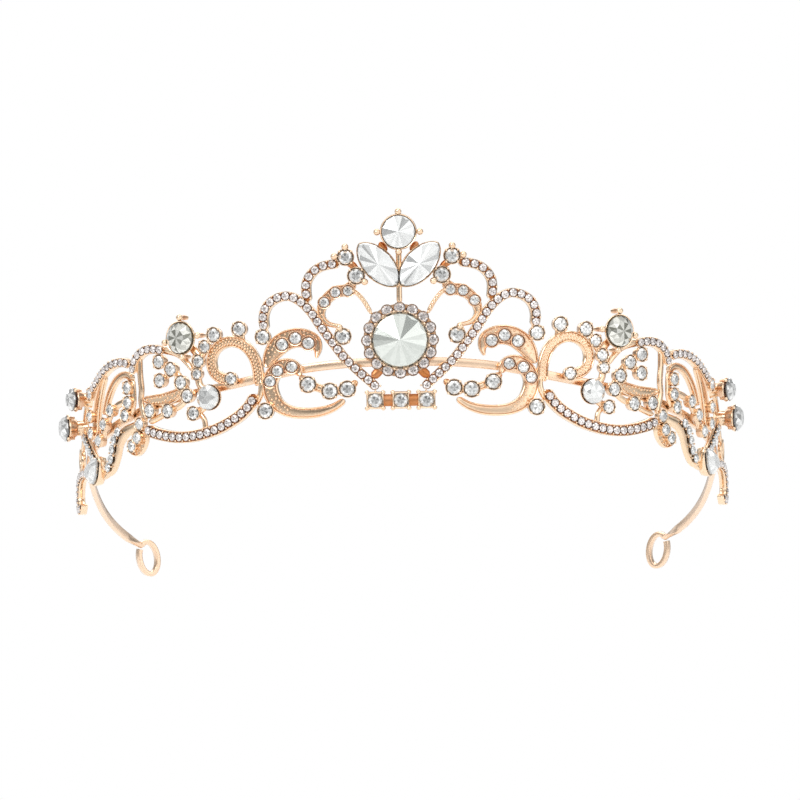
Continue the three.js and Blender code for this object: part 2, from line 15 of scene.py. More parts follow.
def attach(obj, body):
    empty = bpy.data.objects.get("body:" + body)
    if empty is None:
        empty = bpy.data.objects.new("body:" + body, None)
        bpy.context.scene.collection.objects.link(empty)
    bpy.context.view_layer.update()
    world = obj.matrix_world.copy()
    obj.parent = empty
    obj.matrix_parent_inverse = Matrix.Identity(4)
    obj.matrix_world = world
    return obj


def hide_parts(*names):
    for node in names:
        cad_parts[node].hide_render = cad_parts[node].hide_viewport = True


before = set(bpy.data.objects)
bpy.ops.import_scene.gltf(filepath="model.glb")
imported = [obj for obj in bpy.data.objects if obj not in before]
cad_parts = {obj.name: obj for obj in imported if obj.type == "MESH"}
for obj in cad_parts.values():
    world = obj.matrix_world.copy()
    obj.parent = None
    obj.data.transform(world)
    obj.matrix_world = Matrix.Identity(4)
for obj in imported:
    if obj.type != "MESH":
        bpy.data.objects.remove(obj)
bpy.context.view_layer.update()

# ---------- driving sizes, as in the frame: millimetres and degrees ----------
MM = 0.001
SIDE_ARC = 105
TAIL_ARC = 50
BEND_POWER = 1.28
TAIL_TURN = 28
HEAD_DEPTH = 60
FRONT_RISE = 15

BAND_WIDTH = 1.9
BAND_THICK = 1.2
BAND_TILT = 0.38
LOOP_HIGH = 7.9
LOOP_WIDE = 4.6
LOOP_YAW = 25
LOOP_LEAN = 10
LOOP_START = 0.62
LOOP_CLOSED = 0.955
LOOP_LEAD = 6

CAST_DEPTH = 1.2
CUP_PROUD = 0.15
TWIG_STEP = 0.1
FIT_GAP = 0.3
PAVE_STONE = 1.85
CHANNEL = 2.0
MEDALLION_STONE = 12
HALO_STONE = 2.5
HALO_COUNT = 16
TOP_STONE = 7.4
LEAF_STONE = {"length": 11.6, "width": 6.0, "turn": 48}
SIDE_STONE = 7.2
ROUND_STONE = 5.4
PEAR_STONE = {"length": 6.6, "width": 4.2, "turn": 125}
OUTER_STONE = 6.0
OUTER_RISE = 2.6
REAR_STONE = 5.2
REAR_RISE = 2.0
STONE_LIFT = CAST_DEPTH + CUP_PROUD + FIT_GAP

# Detail that the frame's plain solids leave out.
STATION = 0.45
RIM_WIDE = 0.42
FIELD_SINK = 0.34
GRAIN_SIZE = 0.52
GRAIN_PITCH = 0.78
BEAD_SIZE = 0.46
STONE_SHARE = 0.94
GIRDLE = 0.08
LARGE_GIRDLE = 0.035
# Links carry painted recess shade all over, though they are not sunk.
LINK_SHADE = 0.8
BALL_SIZE = 1.5
CLAW_SIZE = 0.58
CUP_FOOT = 0.1
GIRDLE_RISE = 0.75
PAVE_LIFT = CAST_DEPTH + 0.5
PAVE_WIDE = 0.96
ROW_LIFT = CAST_DEPTH + 0.35
SCROLL_WIDTH = 2.4
TIP_LENGTH = 1.2
SHARE_STEPS = 120
GRAIN_STEPS = 60
GRAIN_MARGIN = 0.4
BAND_STATION = 1.5
LOOP_STATIONS = 57
BAND_EDGE = 0.22
BAND_CORNER = 0.06
SMOOTH_ANGLE = math.radians(52)

# Sockets that go by number: a random value's float result, and a mix node's colours.
RANDOM_FLOAT = 1
MIX_FACTOR, MIX_FIRST, MIX_SECOND, MIX_RESULT = 0, 6, 7, 2

# ---------- the stage, in metres ----------
FLOOR_REACH = 12.0
FLOOR_HEIGHT = -0.16
LIGHT_TARGET = (0, -0.03, 0.02)
CAMERA_AT = (-0.0002, -0.810, 0.015)
CAMERA_ROLL = math.radians(-0.9)
CAMERA_LENS = 158.6

# ---------- the pattern of the right half: [arc, height] or [arc, height, width] ----------
MEDALLION_AT = (0, 12.7)
MEDALLION_R = MEDALLION_STONE / 2 + HALO_STONE - 0.4
HALO_R = MEDALLION_R - HALO_STONE / 2
TOP_AT = (0, 32.0 + TOP_STONE / 2)
LEAF_STONE_AT = (4.3, 28.8)
SIDE_STONE_AT = (48.5, 10.5 + SIDE_STONE / 2)
ROUND_STONE_AT = (41.7, 1.2)
PEAR_AT = (79.3, -14.6)
OUTER_STONE_AT = (91, -5.2)
REAR_STONE_AT = (86.6, 1.2)
RING_AT = (95.6, -12.7)
RING_OUTER = 2.9
RING_INNER = 1.7

CREST = [[28.9, 15.4], [29.1, 18.2], [28.2, 20.6], [26.1, 22.1], [23.6, 22.5], [21.3, 21.5],
         [18.9, 19.2], [16.9, 16.2], [14.4, 12.7], [11.6, 9.0], [8.8, 6.2], [6.5, 4.1], [4.8, 2.5]]
CREST_ARCH = [[12.6, 29.2], [14.8, 29.0], [16.9, 28.4], [18.6, 27.1], [19.6, 25.2], [19.7, 23.2],
              [19.4, 21.2]]
CURL = [[9.4, 25.2, 2], [11.2, 23.6, 2.5], [13.4, 23.2, 2.6], [15.4, 21.7, 2.4], [16.5, 19.8, 2.0],
        [16.5, 18.0, 1.5], [15.5, 16.7, 1.2], [14.0, 16.1, 1.0], [12.4, 15.9, 1.0]]
CURL_TAIL = [[10.4, 23.8], [8.8, 22.7], [7.4, 21.0], [6.1, 18.7]]
ARCH_LINK = [[11.0, 29.6], [9.6, 28.6], [9.0, 27.0]]
UPPER_LEAF = [[17.8, 9.2, 0.5], [17.5, 11.0, 1.8], [18.3, 12.7, 3.2], [20.0, 13.4, 4.0],
              [22.2, 13.6, 4.2], [24.5, 13.0, 4.3], [26.4, 11.6, 4.2], [27.9, 9.6, 3.2],
              [29.0, 7.4, 1.4]]
LOWER_LEAF = [[21.4, 5.4, 1.2], [22.0, 6.9, 2.4], [23.4, 7.6, 3.2], [25.3, 7.4, 3.4],
              [27.2, 6.0, 3.4], [28.0, 3.8, 3.4], [27.6, 1.4, 3.4], [26.1, -0.8, 3.0],
              [23.6, -2.1, 2.6], [20.3, -2.5, 2.4], [17.0, -2.2, 2.2], [14.2, -1.3, 1.8],
              [11.9, 0.2, 1.4]]
LEAF_TAIL = [[9.2, 4.2, 1.4], [11.2, 2.6, 1.8], [14.9, 2.1, 1.8], [17.3, 2.8, 1.8],
             [19.5, 3.7, 1.8], [21.4, 5.4, 1.6]]
LOOP_SCROLL = [[30.5, 3.5], [30.8, 7.4], [32.0, 10.4], [34.1, 12.4], [36.7, 13.1], [39.2, 12.5],
               [41.0, 10.9], [41.6, 8.6], [40.9, 6.5], [39.2, 5.3], [37.2, 4.8]]
LOOP_STEM = [[34.2, 12.8], [34.5, 15.2]]
CLUSTER_STEM = [[42.9, 12.1], [44.5, 9.0], [45.0, 6.3], [44.7, 4.0], [42.8, 2.4]]
SIDE_STONE_STEM = [[44.2, 9.4], [46.2, 11.6], [48.0, 13.0]]
LOW_STEM = [[43.0, -0.6], [45.8, -2.2]]
SIDE_ARC_STROKE = [[31.2, 1.7], [32.3, -0.3], [34.5, -2.5], [37.2, -4.2], [40.2, -5.6],
                   [43.5, -6.6], [47.0, -7.2], [50.5, -7.3], [54.0, -6.9], [57.0, -6.3],
                   [59.4, -5.5]]
ARC_START = [[30.1, 4.6], [30.0, 2.9], [30.4, 1.2], [31.4, -0.6]]
ARC_STEM = [[43.4, -6.2], [43.6, -3.8], [44.6, -2.2]]
SIDE_ARCH = [[46.4, 7.1, 1.1], [47.8, 8.7, 1.3], [49.9, 10.4, 1.4], [52.4, 11.3, 1.6],
             [55.0, 11.7, 1.9], [57.5, 11.9, 2], [60.0, 11.5, 2], [62.0, 10.3, 2], [63.2, 8.6, 2],
             [63.4, 6.8, 1.8]]
ARCH_STEM = [[61.9, 10.2], [61.8, 6.4], [61.4, 3.2], [61.6, 0.6], [60.9, -2.0], [60.2, -4.0]]
SPRAY_LEAF = [[48.2, 3.4, 1.4], [51.0, 1.9, 2.4], [54.0, 1.1, 2.6], [57.4, 0.8, 2.4],
              [60.2, 0.9, 1.6]]
SPRAY_TWIG = [[54.9, 9.0], [51.7, 7.4], [49.0, 4.5], [47.4, 1.6]]
SPRAY_FORK = [[51.7, 7.4], [54.8, 5.0]]
LOW_TWIG = [[47.4, 1.4], [50.2, -0.7], [52.7, -1.6], [56.0, -3.0], [58.8, -4.0]]
REAR_ARCH = [[64.8, 8.8], [67.2, 9.2], [69.6, 9.1], [72.0, 8.6], [74.5, 7.6], [76.8, 6.3],
             [78.8, 4.9], [81.4, 3.2]]
REAR_FIELD = [[75.6, 6.4, 1.6], [77.9, 3.2, 2.4], [79.8, -0.4, 3.2], [80.6, -4.0, 3.2],
              [80.8, -7.2, 2.4]]
INNER_ARCH = [[64.4, 5.4], [66.2, 6.4], [68.4, 6.2], [70.6, 5.2], [72.7, 3.3], [74.5, 0.8],
              [75.8, -2.2]]
REAR_TWIG = [[66.6, 0.8], [70.0, -0.2], [72.2, -1.4], [75.3, -4.5], [77.6, -7.8]]
LEAF_BACK = [[64.4, 5.4, 1.4], [64.3, 2.4, 2.0], [64.5, -0.4, 2.0], [66.2, -2.8, 1.6]]
REAR_STEM = [[61.2, -4.2, 2.2], [64.4, -5.2, 2.4], [67.6, -6.4, 3.0], [69.9, -8.5, 3.6],
             [71.0, -11.2, 3.6], [72.6, -13.6, 3.4], [75.2, -15.4, 2.0]]
REAR_CHAIN = [[68.2, -5.4], [70.2, -6.9], [71.4, -9.2], [72.0, -11.6], [73.0, -13.6], [74.6, -14.4]]
REAR_LEAF = [[61.0, -4.6, 2.4], [61.2, -7.8, 3.4], [62.8, -9.9, 3.0], [65.4, -10.3, 1.2]]
END_CHAIN = [[79.6, -14.0, 2.2], [81.9, -11.7, 2.2], [84.2, -9.9, 2.3], [87.4, -7.6, 2.4],
             [91, -5.2, 2.4]]
END_TWIG = [[83.4, 1.8], [86.6, 1.2], [89.4, -2.2], [91, -5.2]]
RING_STEM = [[91.8, -7.4], [94.6, -10.8]]
END_CREST = [[82.8, -16.2, 1.6], [86.2, -15.5, 2.2], [90.0, -15.6, 2.4], [93.8, -16.6, 2.4],
             [97.0, -18.6, 2.4], [98.4, -21.2, 2.4], [97.0, -23.5, 2.2], [94.2, -23.9, 1.8],
             [92.0, -22.6, 1.2]]
STEM_LINK = [[73.8, -14.8], [75.8, -15.5], [77.8, -15.9]]
CREST_LINK = [[80.6, -15.6], [82.4, -16.0], [84.4, -16.1]]
BAND_HEIGHTS = [[0, 8.2], [10, 8.0], [20, 7.1], [30, 5.3], [40, 3.4], [50, 1.5], [60, -0.7]]

# ---------- plan of the band and the bend of the pattern ----------
QUARTER = math.pi / 2
LOOP_ARC = SIDE_ARC + TAIL_ARC
PLAN_STEP = 0.5


def heading(arc):
    front = QUARTER * (np.minimum(arc, SIDE_ARC) / SIDE_ARC) ** BEND_POWER
    tail = math.radians(TAIL_TURN) * (np.maximum(arc - SIDE_ARC, 0) / TAIL_ARC) ** 2
    return front + tail


PLAN_ARC = np.arange(0, LOOP_ARC + 2, PLAN_STEP)
PLAN_WAY = heading(PLAN_ARC[:-1] + PLAN_STEP / 2)
PLAN_X = np.concatenate([[0], np.cumsum(np.cos(PLAN_WAY)) * PLAN_STEP])
PLAN_Y = np.concatenate([[0], np.cumsum(np.sin(PLAN_WAY)) * PLAN_STEP])


def bend(points):
    """Pattern points [arc, height, lift] in millimetres, bent round the head."""
    arc = np.abs(points[:, 0])
    side = np.where(points[:, 0] < 0, -1, 1)
    way = heading(arc)
    lift = points[:, 2]
    x = side * (np.interp(arc, PLAN_ARC, PLAN_X) + lift * np.sin(way))
    y = np.interp(arc, PLAN_ARC, PLAN_Y) - lift * np.cos(way) - HEAD_DEPTH
    return np.column_stack([x, y, points[:, 1] + FRONT_RISE])


# ---------- routes ----------
def smooth_route(route, width=CHANNEL, parts=14):
    """A smooth line through a route's points, in short steps; its third column is the width."""
    knots = np.array([[*point, width][:3] if len(point) < 3 else point for point in route], float)
    first = 2 * knots[0] - knots[1]
    last = 2 * knots[-1] - knots[-2]
    knots = np.vstack([first, knots, last])
    line = []
    for p0, p1, p2, p3 in zip(knots, knots[1:], knots[2:], knots[3:]):
        d0, d1, d2 = (math.sqrt(np.linalg.norm(b - a)) for a, b in ((p0, p1), (p1, p2), (p2, p3)))
        t1 = ((p1 - p0) / d0 - (p2 - p0) / (d0 + d1) + (p2 - p1) / d1) * d1
        t2 = ((p2 - p1) / d1 - (p3 - p1) / (d1 + d2) + (p3 - p2) / d2) * d1
        t = np.linspace(0, 1, parts, endpoint=False)[:, None]
        line.append(p1 + t1 * t + (3 * (p2 - p1) - 2 * t1 - t2) * t ** 2
                    + (2 * (p1 - p2) + t1 + t2) * t ** 3)
    return np.vstack([*line, knots[-2]])


def stations(line, places):
    """Points of a line at the given distances along it."""
    run = np.concatenate([[0], np.cumsum(np.linalg.norm(np.diff(line[:, :2], axis=0), axis=1))])
    return np.column_stack([np.interp(places, run, column) for column in line.T])


def line_length(line):
    return np.linalg.norm(np.diff(line[:, :2], axis=0), axis=1).sum()


def directions(line):
    way = np.gradient(line[:, :2], axis=0)
    return way / np.linalg.norm(way, axis=1)[:, None]


# ---------- shells: closed surfaces with the attributes that the finishes read ----------
class Shell:
    """Points and faces, with each point's painted recess shade and painted sparkle and each face's
    painted facet reflection.
    """

    def __init__(self, points, faces, painted_shade=0.0, tone=0.5, spark=0.5):
        self.points = np.asarray(points, float)
        self.corners = np.concatenate([np.asarray(face, int) for face in faces])
        self.sizes = np.array([len(face) for face in faces])
        self.painted_shade = np.broadcast_to(painted_shade, len(self.points)).astype(float)
        self.tone = np.broadcast_to(tone, len(self.sizes)).astype(float)
        self.spark = np.broadcast_to(spark, len(self.points)).astype(float)

    def mapped(self, move):
        """A copy with its points moved."""
        copy = object.__new__(Shell)
        copy.__dict__ = dict(self.__dict__)
        copy.points = move(self.points)
        return copy

    def shaded_all_over(self, painted_shade):
        """A copy painted with the given amount of recess shade all over; its points stay where they are.
        """
        copy = self.mapped(lambda points: points)
        copy.painted_shade = np.full(len(self.points), float(painted_shade))
        return copy

    def mirrored(self):
        copy = self.mapped(lambda points: points * [-1, 1, 1])
        starts = np.repeat(np.cumsum(self.sizes) - self.sizes, self.sizes)
        within = np.arange(len(self.corners)) - starts
        order = starts + np.repeat(self.sizes, self.sizes) - 1 - within
        copy.corners = self.corners[order]
        return copy


def joined(shells):
    whole = object.__new__(Shell)
    offsets = np.cumsum([0] + [len(shell.points) for shell in shells])
    whole.points = np.vstack([shell.points for shell in shells])
    whole.corners = np.concatenate([s.corners + offset for s, offset in zip(shells, offsets)])
    for name in ("sizes", "painted_shade", "tone", "spark"):
        setattr(whole, name, np.concatenate([getattr(shell, name) for shell in shells]))
    return whole


def outward(shell):
    """The shell with its faces turned to point out."""
    starts = np.cumsum(shell.sizes) - shell.sizes
    volume = 0.0
    for start, size in zip(starts, shell.sizes):
        corner = shell.points[shell.corners[start:start + size]]
        fan = np.cross(corner[1:-1], corner[2:])
        volume += (fan @ corner[0]).sum()
    if volume >= 0:
        return shell
    return shell.mapped(lambda points: points * [-1, 1, 1]).mirrored()


def loft(sections, painted_shade=0.0):
    """Skins rows of equal rings and closes both ends."""
    rows, ring = sections.shape[:2]
    row = np.arange(rows - 1)[:, None] * ring
    here = np.arange(ring)[None, :]
    after = (here + 1) % ring
    quads = np.stack([row + here, row + after, row + ring + after, row + ring + here], -1)
    faces = [*quads.reshape(-1, 4), np.arange(ring)[::-1], np.arange(ring) + (rows - 1) * ring]
    return outward(Shell(sections.reshape(-1, 3), faces, painted_shade))


def turned(profile, sides=20, painted_shade=0.0):
    """A shape turned round the lift axis from [radius, lift, painted recess shade] levels, ends on the
    axis.
    """
    angle = 2 * np.pi * np.arange(sides) / sides
    points, rings, level_shades = [], [], []
    for radius, lift, *shaded in profile:
        count = sides if radius else 1
        rings.append(len(points) + np.arange(sides) % count)
        points.extend(np.column_stack([radius * np.cos(angle), radius * np.sin(angle),
                                       np.full(sides, lift)])[:count])
        level_shades.extend([*shaded, painted_shade][:1] * count)
    faces = []
    for low, high in zip(rings, rings[1:]):
        for i in range(sides):
            j = (i + 1) % sides
            face = [low[i], low[j], high[j], high[i]]
            faces.append(list(dict.fromkeys(face)))
    return outward(Shell(points, faces, level_shades))


# ---------- cross sections of the castings: across, lift and painted recess shade of one side ---
def rimmed(half, low, high):
    """Flat back, a rounded rim along each edge and a sunken field between them."""
    rim = np.minimum(RIM_WIDE, 0.45 * half)
    sink = FIELD_SINK * np.minimum(1, half / (2 * RIM_WIDE))
    inner = half - rim
    return [(half - 0.1, low, 0), (half, low + 0.12, 0), (half, high - 0.2, 0),
            (half - 0.2 * rim, high - 0.03, 0), (half - 0.5 * rim, high + 0.05, 0),
            (half - 0.8 * rim, high - 0.03, 0.1), (inner, high - sink, 0.6),
            (0.75 * inner, high - sink + 0.03, 0.1), (0 * half, high - sink + 0.05, 0.0)]


def channel(half, low, high):
    """A tray with low walls, which a row of stones sits in."""
    wall = np.minimum(0.24, 0.4 * half)
    return [(half - 0.1, low, 0), (half, low + 0.12, 0), (half, high + 0.25, 0),
            (half - 0.4 * wall, high + 0.36, 0), (half - wall, high + 0.3, 0.3),
            (half - wall - 0.04, high, 1), (0 * half, high, 1)]


def wire(half, low, high):
    """A round-topped wire, flat at the back."""
    tall = high - low
    return [(0.65 * half, low + 0.03, 0.1), (0.95 * half, low + 0.3 * tall, 0.05),
            (half, low + 0.5 * tall, 0), (0.88 * half, low + 0.76 * tall, 0),
            (0.5 * half, low + 0.95 * tall, 0), (0 * half, high, 0)]


def strip(route, profile, width=CHANNEL, twig=0, start=0.0, end=1.0):
    """A casting's limb along a route, or along a share of it, with rounded ends."""
    line = smooth_route(route, width)
    length = line_length(line)
    if (start, end) != (0, 1):
        line = stations(line, np.linspace(start, end, SHARE_STEPS) * length)
        length = line_length(line)
    count = max(6, round(length / STATION))
    ease = 0.5 - 0.5 * np.cos(np.linspace(0, np.pi, 7))[:4]
    tip = ease * TIP_LENGTH / ease.max()
    tip = np.unique(np.concatenate([tip, length - tip]))
    body = np.linspace(TIP_LENGTH, length - TIP_LENGTH, count)
    places = np.unique(np.round(np.clip(np.concatenate([tip, body]), 0, length), 4))
    line = stations(line, places)
    way = directions(line)
    end = np.minimum(places, length - places)
    reach = np.maximum(0.45 * line[:, 2], 0.2)
    full = np.sqrt(1 - (1 - np.clip(end / reach, 0.02, 1)) ** 2)
    half = line[:, 2] / 2 * np.maximum(full, 0.15)
    low, high = twig * TWIG_STEP, CAST_DEPTH - twig * TWIG_STEP
    side = profile(half, low, high)
    ring = side + [(-across, lift, painted_shade) for across, lift, painted_shade in side[-2::-1]]
    across = np.column_stack([point[0] for point in ring])
    lift = np.column_stack([np.broadcast_to(point[1], half.shape) for point in ring])
    painted_shade = np.tile([point[2] for point in ring], len(half))
    arc = line[:, 0:1] - way[:, 1:2] * across
    height = line[:, 1:2] + way[:, 0:1] * across
    return loft(np.stack([arc, height, lift], -1), painted_shade)


# ---------- stones ----------
def round_outline(angle):
    return np.cos(angle), np.sin(angle)


def navette_outline(angle):
    side = np.sin(angle)
    width = LEAF_STONE["width"] / LEAF_STONE["length"]
    return np.cos(angle), np.sign(side) * np.abs(side) ** 1.25 * width


def pear_outline(angle):
    width = PEAR_STONE["width"] / PEAR_STONE["length"]
    return np.cos(angle), np.sin(angle) * (1 - 0.35 * np.cos(angle)) * width


def cut_stone(outline=round_outline, mains=8, table=0.56, crown=0.42, belly=0.3, seed=1, dark=0.15,
              girdle=GIRDLE):
    """A faceted stone of radius 1 about its widest edge; a table of 0 brings it to a point.

    Each facet has its own painted reflection, from dark up to 1, and a table's facets make a star of
    painted light and dark."""
    count = 2 * mains
    angle = 2 * np.pi * np.arange(count) / count

    def ring(picked, size, lift):
        u, v = outline(picked)
        return np.column_stack([u * size, v * size, np.full(len(picked), lift)])

    edge = ring(angle, 1, 0.0)
    rim = ring(angle, 1 - girdle, 0.08)
    under = ring(angle, 0.98, -0.08)
    middle = ring(angle[::2], 0.8 if table else 0.87, crown * (0.55 if table else 0.26))
    back = ring(angle, 0.6, -belly)
    point = np.array([[0, 0, crown]])
    top = np.vstack([ring(angle[1::2], table, crown), point]) if table else point
    points = np.vstack([rim, edge, under, middle, back, top])
    rim_at, edge_at, under_at, middle_at = 0, count, 2 * count, 3 * count
    back_at = middle_at + mains
    top_at = back_at + count
    centre = top_at + mains
    faces, tone = [list(range(back_at, back_at + count))[::-1]], [0.3]
    draw = np.random.default_rng(seed)

    def facet(face, low, high):
        faces.append(face)
        tone.append(draw.uniform(low, high))

    # Girdle and pavilion facets carry dark painted reflections.
    for i in range(count):
        j = (i + 1) % count
        facet([edge_at + i, edge_at + j, rim_at + j, rim_at + i], 0.0, 0.15)
        facet([under_at + i, under_at + j, edge_at + j, edge_at + i], 0.0, 0.1)
        facet([back_at + i, back_at + j, under_at + j, under_at + i], 0.0, 0.1)
    for k in range(mains):
        after = (k + 1) % mains
        left, mid, right = rim_at + 2 * k, rim_at + 2 * k + 1, rim_at + (2 * k + 2) % count
        this, other = middle_at + k, middle_at + after
        facet([this, left, mid], dark, 0.9)
        facet([other, mid, right], dark, 1.0)
        if table:
            here, there = top_at + k, top_at + after
            facet([here, this, mid], 0.5, 1.0)
            facet([here, mid, other], dark, 0.9)
            facet([here, other, there], 0.5, 1.0)
            facet([centre, here, there], *((dark, dark + 0.4) if k % 2 else (0.8, 1.0)))
        else:
            facet([top_at, this, mid], dark, 1.0)
            facet([top_at, mid, other], dark, 0.95)
    return outward(Shell(points, faces, tone=tone))


def pave_stone():
    return cut_stone(mains=6, table=0.5, crown=0.4, belly=0.25, seed=4)


# ---------- seats, prongs and beads ----------
# The third number of a level is painted recess shade: inside the cups and seats, on the gallery's floor
# and on the prong posts.
def small_cup():
    """A collar of radius 1 at the stone's edge, with its foot on the casting's back."""
    return turned([(0, -0.1), (0.86, -0.1), (0.94, 0.02, 0.4), (1.02, 0.5, 0.3), (1.11, 0.98),
                   (1.11, 1.07), (1.06, 1.11), (1.0, 1.06), (0.97, 0.98, 1), (0.9, 0.72, 1),
                   (0, 0.7, 1)])


def seat_ring():
    """A thin raised ring that a stone sunk in a leaf sits in."""
    return turned([(0, -0.3), (1.2, -0.3), (1.2, 0.02, 0.8), (1.15, 0.12), (1.06, 0.1, 0.3),
                   (1.02, -0.05, 1), (0, -0.08, 1)])


def big_cup():
    """An open gallery cup of radius 1 for the large stones."""
    return turned([(0, -0.04), (0.62, -0.04, 0.3), (0.7, 0.06, 0.5), (0.82, 0.26, 0.5),
                   (0.97, 0.5, 0.1), (1.04, 0.56), (1.05, 0.63), (1.02, 0.67), (0.97, 0.65, 0.2),
                   (0.95, 0.45, 0.8), (0, 0.42, 1)], sides=32)


def bead(sides=8):
    """A small domed bead of diameter 1."""
    lift = np.sin(np.radians([-40, 5, 40, 90])) * 0.5
    radius = np.cos(np.radians([-40, 5, 40, 90])) * 0.5
    radius[-1] = 0
    return turned([(0, lift[0]), *zip(radius, lift)], sides=sides)


def ball_prong():
    """A post that leans out to a ball tip, which stands one unit from the axis it serves."""
    angle = np.radians(np.linspace(-60, 90, 7))
    ball = turned([(0, -0.5), *[(0.5 * math.cos(a), 0.5 * math.sin(a)) for a in angle[:-1]], (0, 0.5)],
                  sides=12)
    post = turned([(0, -1.75), (0.34, -1.75), (0.4, -0.9, 0.5), (0.3, 0, 0.6), (0, 0)], sides=10)
    return joined([ball, post])


# ---------- geometry-node trees ----------
def new_tree(name, inputs):
    """An empty tree with a geometry in and out and named inputs."""
    tree = bpy.data.node_groups.new(name, "GeometryNodeTree")
    tree.interface.new_socket("Base", in_out="INPUT", socket_type="NodeSocketGeometry")
    for label, kind in inputs:
        tree.interface.new_socket(label, in_out="INPUT", socket_type="NodeSocket" + kind)
    tree.interface.new_socket("Result", in_out="OUTPUT", socket_type="NodeSocketGeometry")
    return tree, tree.nodes.new("NodeGroupInput")


def node(tree, kind, inputs=None, **settings):
    """A node with its settings made and its inputs linked or set."""
    made = tree.nodes.new(kind)
    for name, value in settings.items():
        setattr(made, name, value)
    for name, value in (inputs or {}).items():
        socket = made.inputs[name]
        if isinstance(value, bpy.types.NodeSocket):
            tree.links.new(value, socket)
        else:
            socket.default_value = value
    return made


def named(tree, name):
    return node(tree, "GeometryNodeInputNamedAttribute", {"Name": name},
                data_type="FLOAT").outputs["Attribute"]


def math_node(tree, operation, *values):
    return node(tree, "ShaderNodeMath", dict(enumerate(values)), operation=operation).outputs[0]


def place_copies(tree, source, points, turn, scale):
    """Puts a copy of the input object on every point, gives each its own spark and finishes."""
    shape = node(tree, "GeometryNodeObjectInfo", {"Object": source.outputs["Shape"]})
    euler = node(tree, "ShaderNodeCombineXYZ", {"Z": turn})
    rotation = node(tree, "FunctionNodeEulerToRotation", {"Euler": euler.outputs[0]})
    copies = node(tree, "GeometryNodeInstanceOnPoints", {
        "Points": points, "Instance": shape.outputs["Geometry"],
        "Rotation": rotation.outputs[0], "Scale": scale})
    chance = node(tree, "FunctionNodeRandomValue", {"Seed": source.outputs["Seed"]},
                  data_type="FLOAT")
    marked = node(tree, "GeometryNodeStoreNamedAttribute", {
        "Geometry": copies.outputs[0], "Name": "spark", "Value": chance.outputs[RANDOM_FLOAT]},
        domain="INSTANCE", data_type="FLOAT")
    solid = node(tree, "GeometryNodeRealizeInstances", {"Geometry": marked.outputs[0]})
    finished = node(tree, "GeometryNodeSetMaterial", {
        "Geometry": solid.outputs[0], "Material": source.outputs["Finish"]})
    node(tree, "NodeGroupOutput", {"Result": finished.outputs[0]})


COMMON = [("Shape", "Object"), ("Finish", "Material"), ("Seed", "Int")]


def tree_at_places():
    """Copies a shape to listed places, each with its own turn and size."""
    tree, source = new_tree("copies at places", COMMON)
    size = named(tree, "size")
    turn = named(tree, "turn")
    place_copies(tree, source, source.outputs["Base"], turn, size)
    return tree


def tree_along_route():
    """Sets copies of a shape along a route, at equal steps, to one side or on the line."""
    tree, source = new_tree("copies along a route", [
        *COMMON, ("Start", "Float"), ("End", "Float"), ("Count", "Int"), ("Size", "Float"),
        ("Side", "Float"), ("Lift", "Float"), ("Spin", "Float")])
    curve = node(tree, "GeometryNodeMeshToCurve", {"Mesh": source.outputs["Base"]})
    part = node(tree, "GeometryNodeTrimCurve", {
        "Curve": curve.outputs[0], "Start": source.outputs["Start"],
        "End": source.outputs["End"]})
    steps = node(tree, "GeometryNodeResampleCurve", {
        "Curve": part.outputs[0], "Count": source.outputs["Count"]})
    tangent = node(tree, "GeometryNodeInputTangent")
    way = node(tree, "ShaderNodeSeparateXYZ", {"Vector": tangent.outputs[0]})
    left = math_node(tree, "MULTIPLY", way.outputs["Y"], -1.0)
    across = node(tree, "ShaderNodeCombineXYZ", {"X": left, "Y": way.outputs["X"]})
    aside = node(tree, "ShaderNodeVectorMath", {0: across.outputs[0],
                 "Scale": source.outputs["Side"]}, operation="SCALE")
    raised = node(tree, "ShaderNodeCombineXYZ", {"Z": source.outputs["Lift"]})
    offset = node(tree, "ShaderNodeVectorMath", {0: aside.outputs[0], 1: raised.outputs[0]},
                  operation="ADD")
    turn = math_node(tree, "ARCTAN2", way.outputs["Y"], way.outputs["X"])
    kept = node(tree, "GeometryNodeStoreNamedAttribute", {
        "Geometry": steps.outputs[0], "Name": "turn", "Value": turn},
        domain="POINT", data_type="FLOAT")
    moved = node(tree, "GeometryNodeSetPosition", {
        "Geometry": kept.outputs[0], "Offset": offset.outputs[0]})
    points = node(tree, "GeometryNodeCurveToPoints", {
        "Curve": moved.outputs[0]}, mode="EVALUATED")
    chance = node(tree, "FunctionNodeRandomValue", {
        "Max": source.outputs["Spin"], "Seed": source.outputs["Seed"]}, data_type="FLOAT")
    spun = math_node(tree, "ADD", named(tree, "turn"), chance.outputs[RANDOM_FLOAT])
    place_copies(tree, source, points.outputs["Points"], spun, source.outputs["Size"])
    return tree


def tree_grain():
    """Scatters small grains evenly over a field."""
    tree, source = new_tree("grain over a field", [*COMMON, ("Pitch", "Float"), ("Size", "Float")])
    spread = node(tree, "GeometryNodeDistributePointsOnFaces", {
        "Mesh": source.outputs["Base"], "Distance Min": source.outputs["Pitch"],
        "Density Max": 14.0, "Seed": source.outputs["Seed"]}, distribute_method="POISSON")
    share = node(tree, "FunctionNodeRandomValue", {
        "Min": 0.8, "Max": 1.15, "Seed": source.outputs["Seed"]}, data_type="FLOAT")
    size = math_node(tree, "MULTIPLY", share.outputs[RANDOM_FLOAT], source.outputs["Size"])
    place_copies(tree, source, spread.outputs["Points"], 0.0, size)
    return tree


def mesh_object(name, shell=None, points=None, edges=()):
    mesh = bpy.data.meshes.new(name)
    if shell is None:
        mesh.from_pydata(points, edges, [])
    else:
        fill_mesh(mesh, shell)
    made = bpy.data.objects.new(name, mesh)
    bpy.context.scene.collection.objects.link(made)
    return made


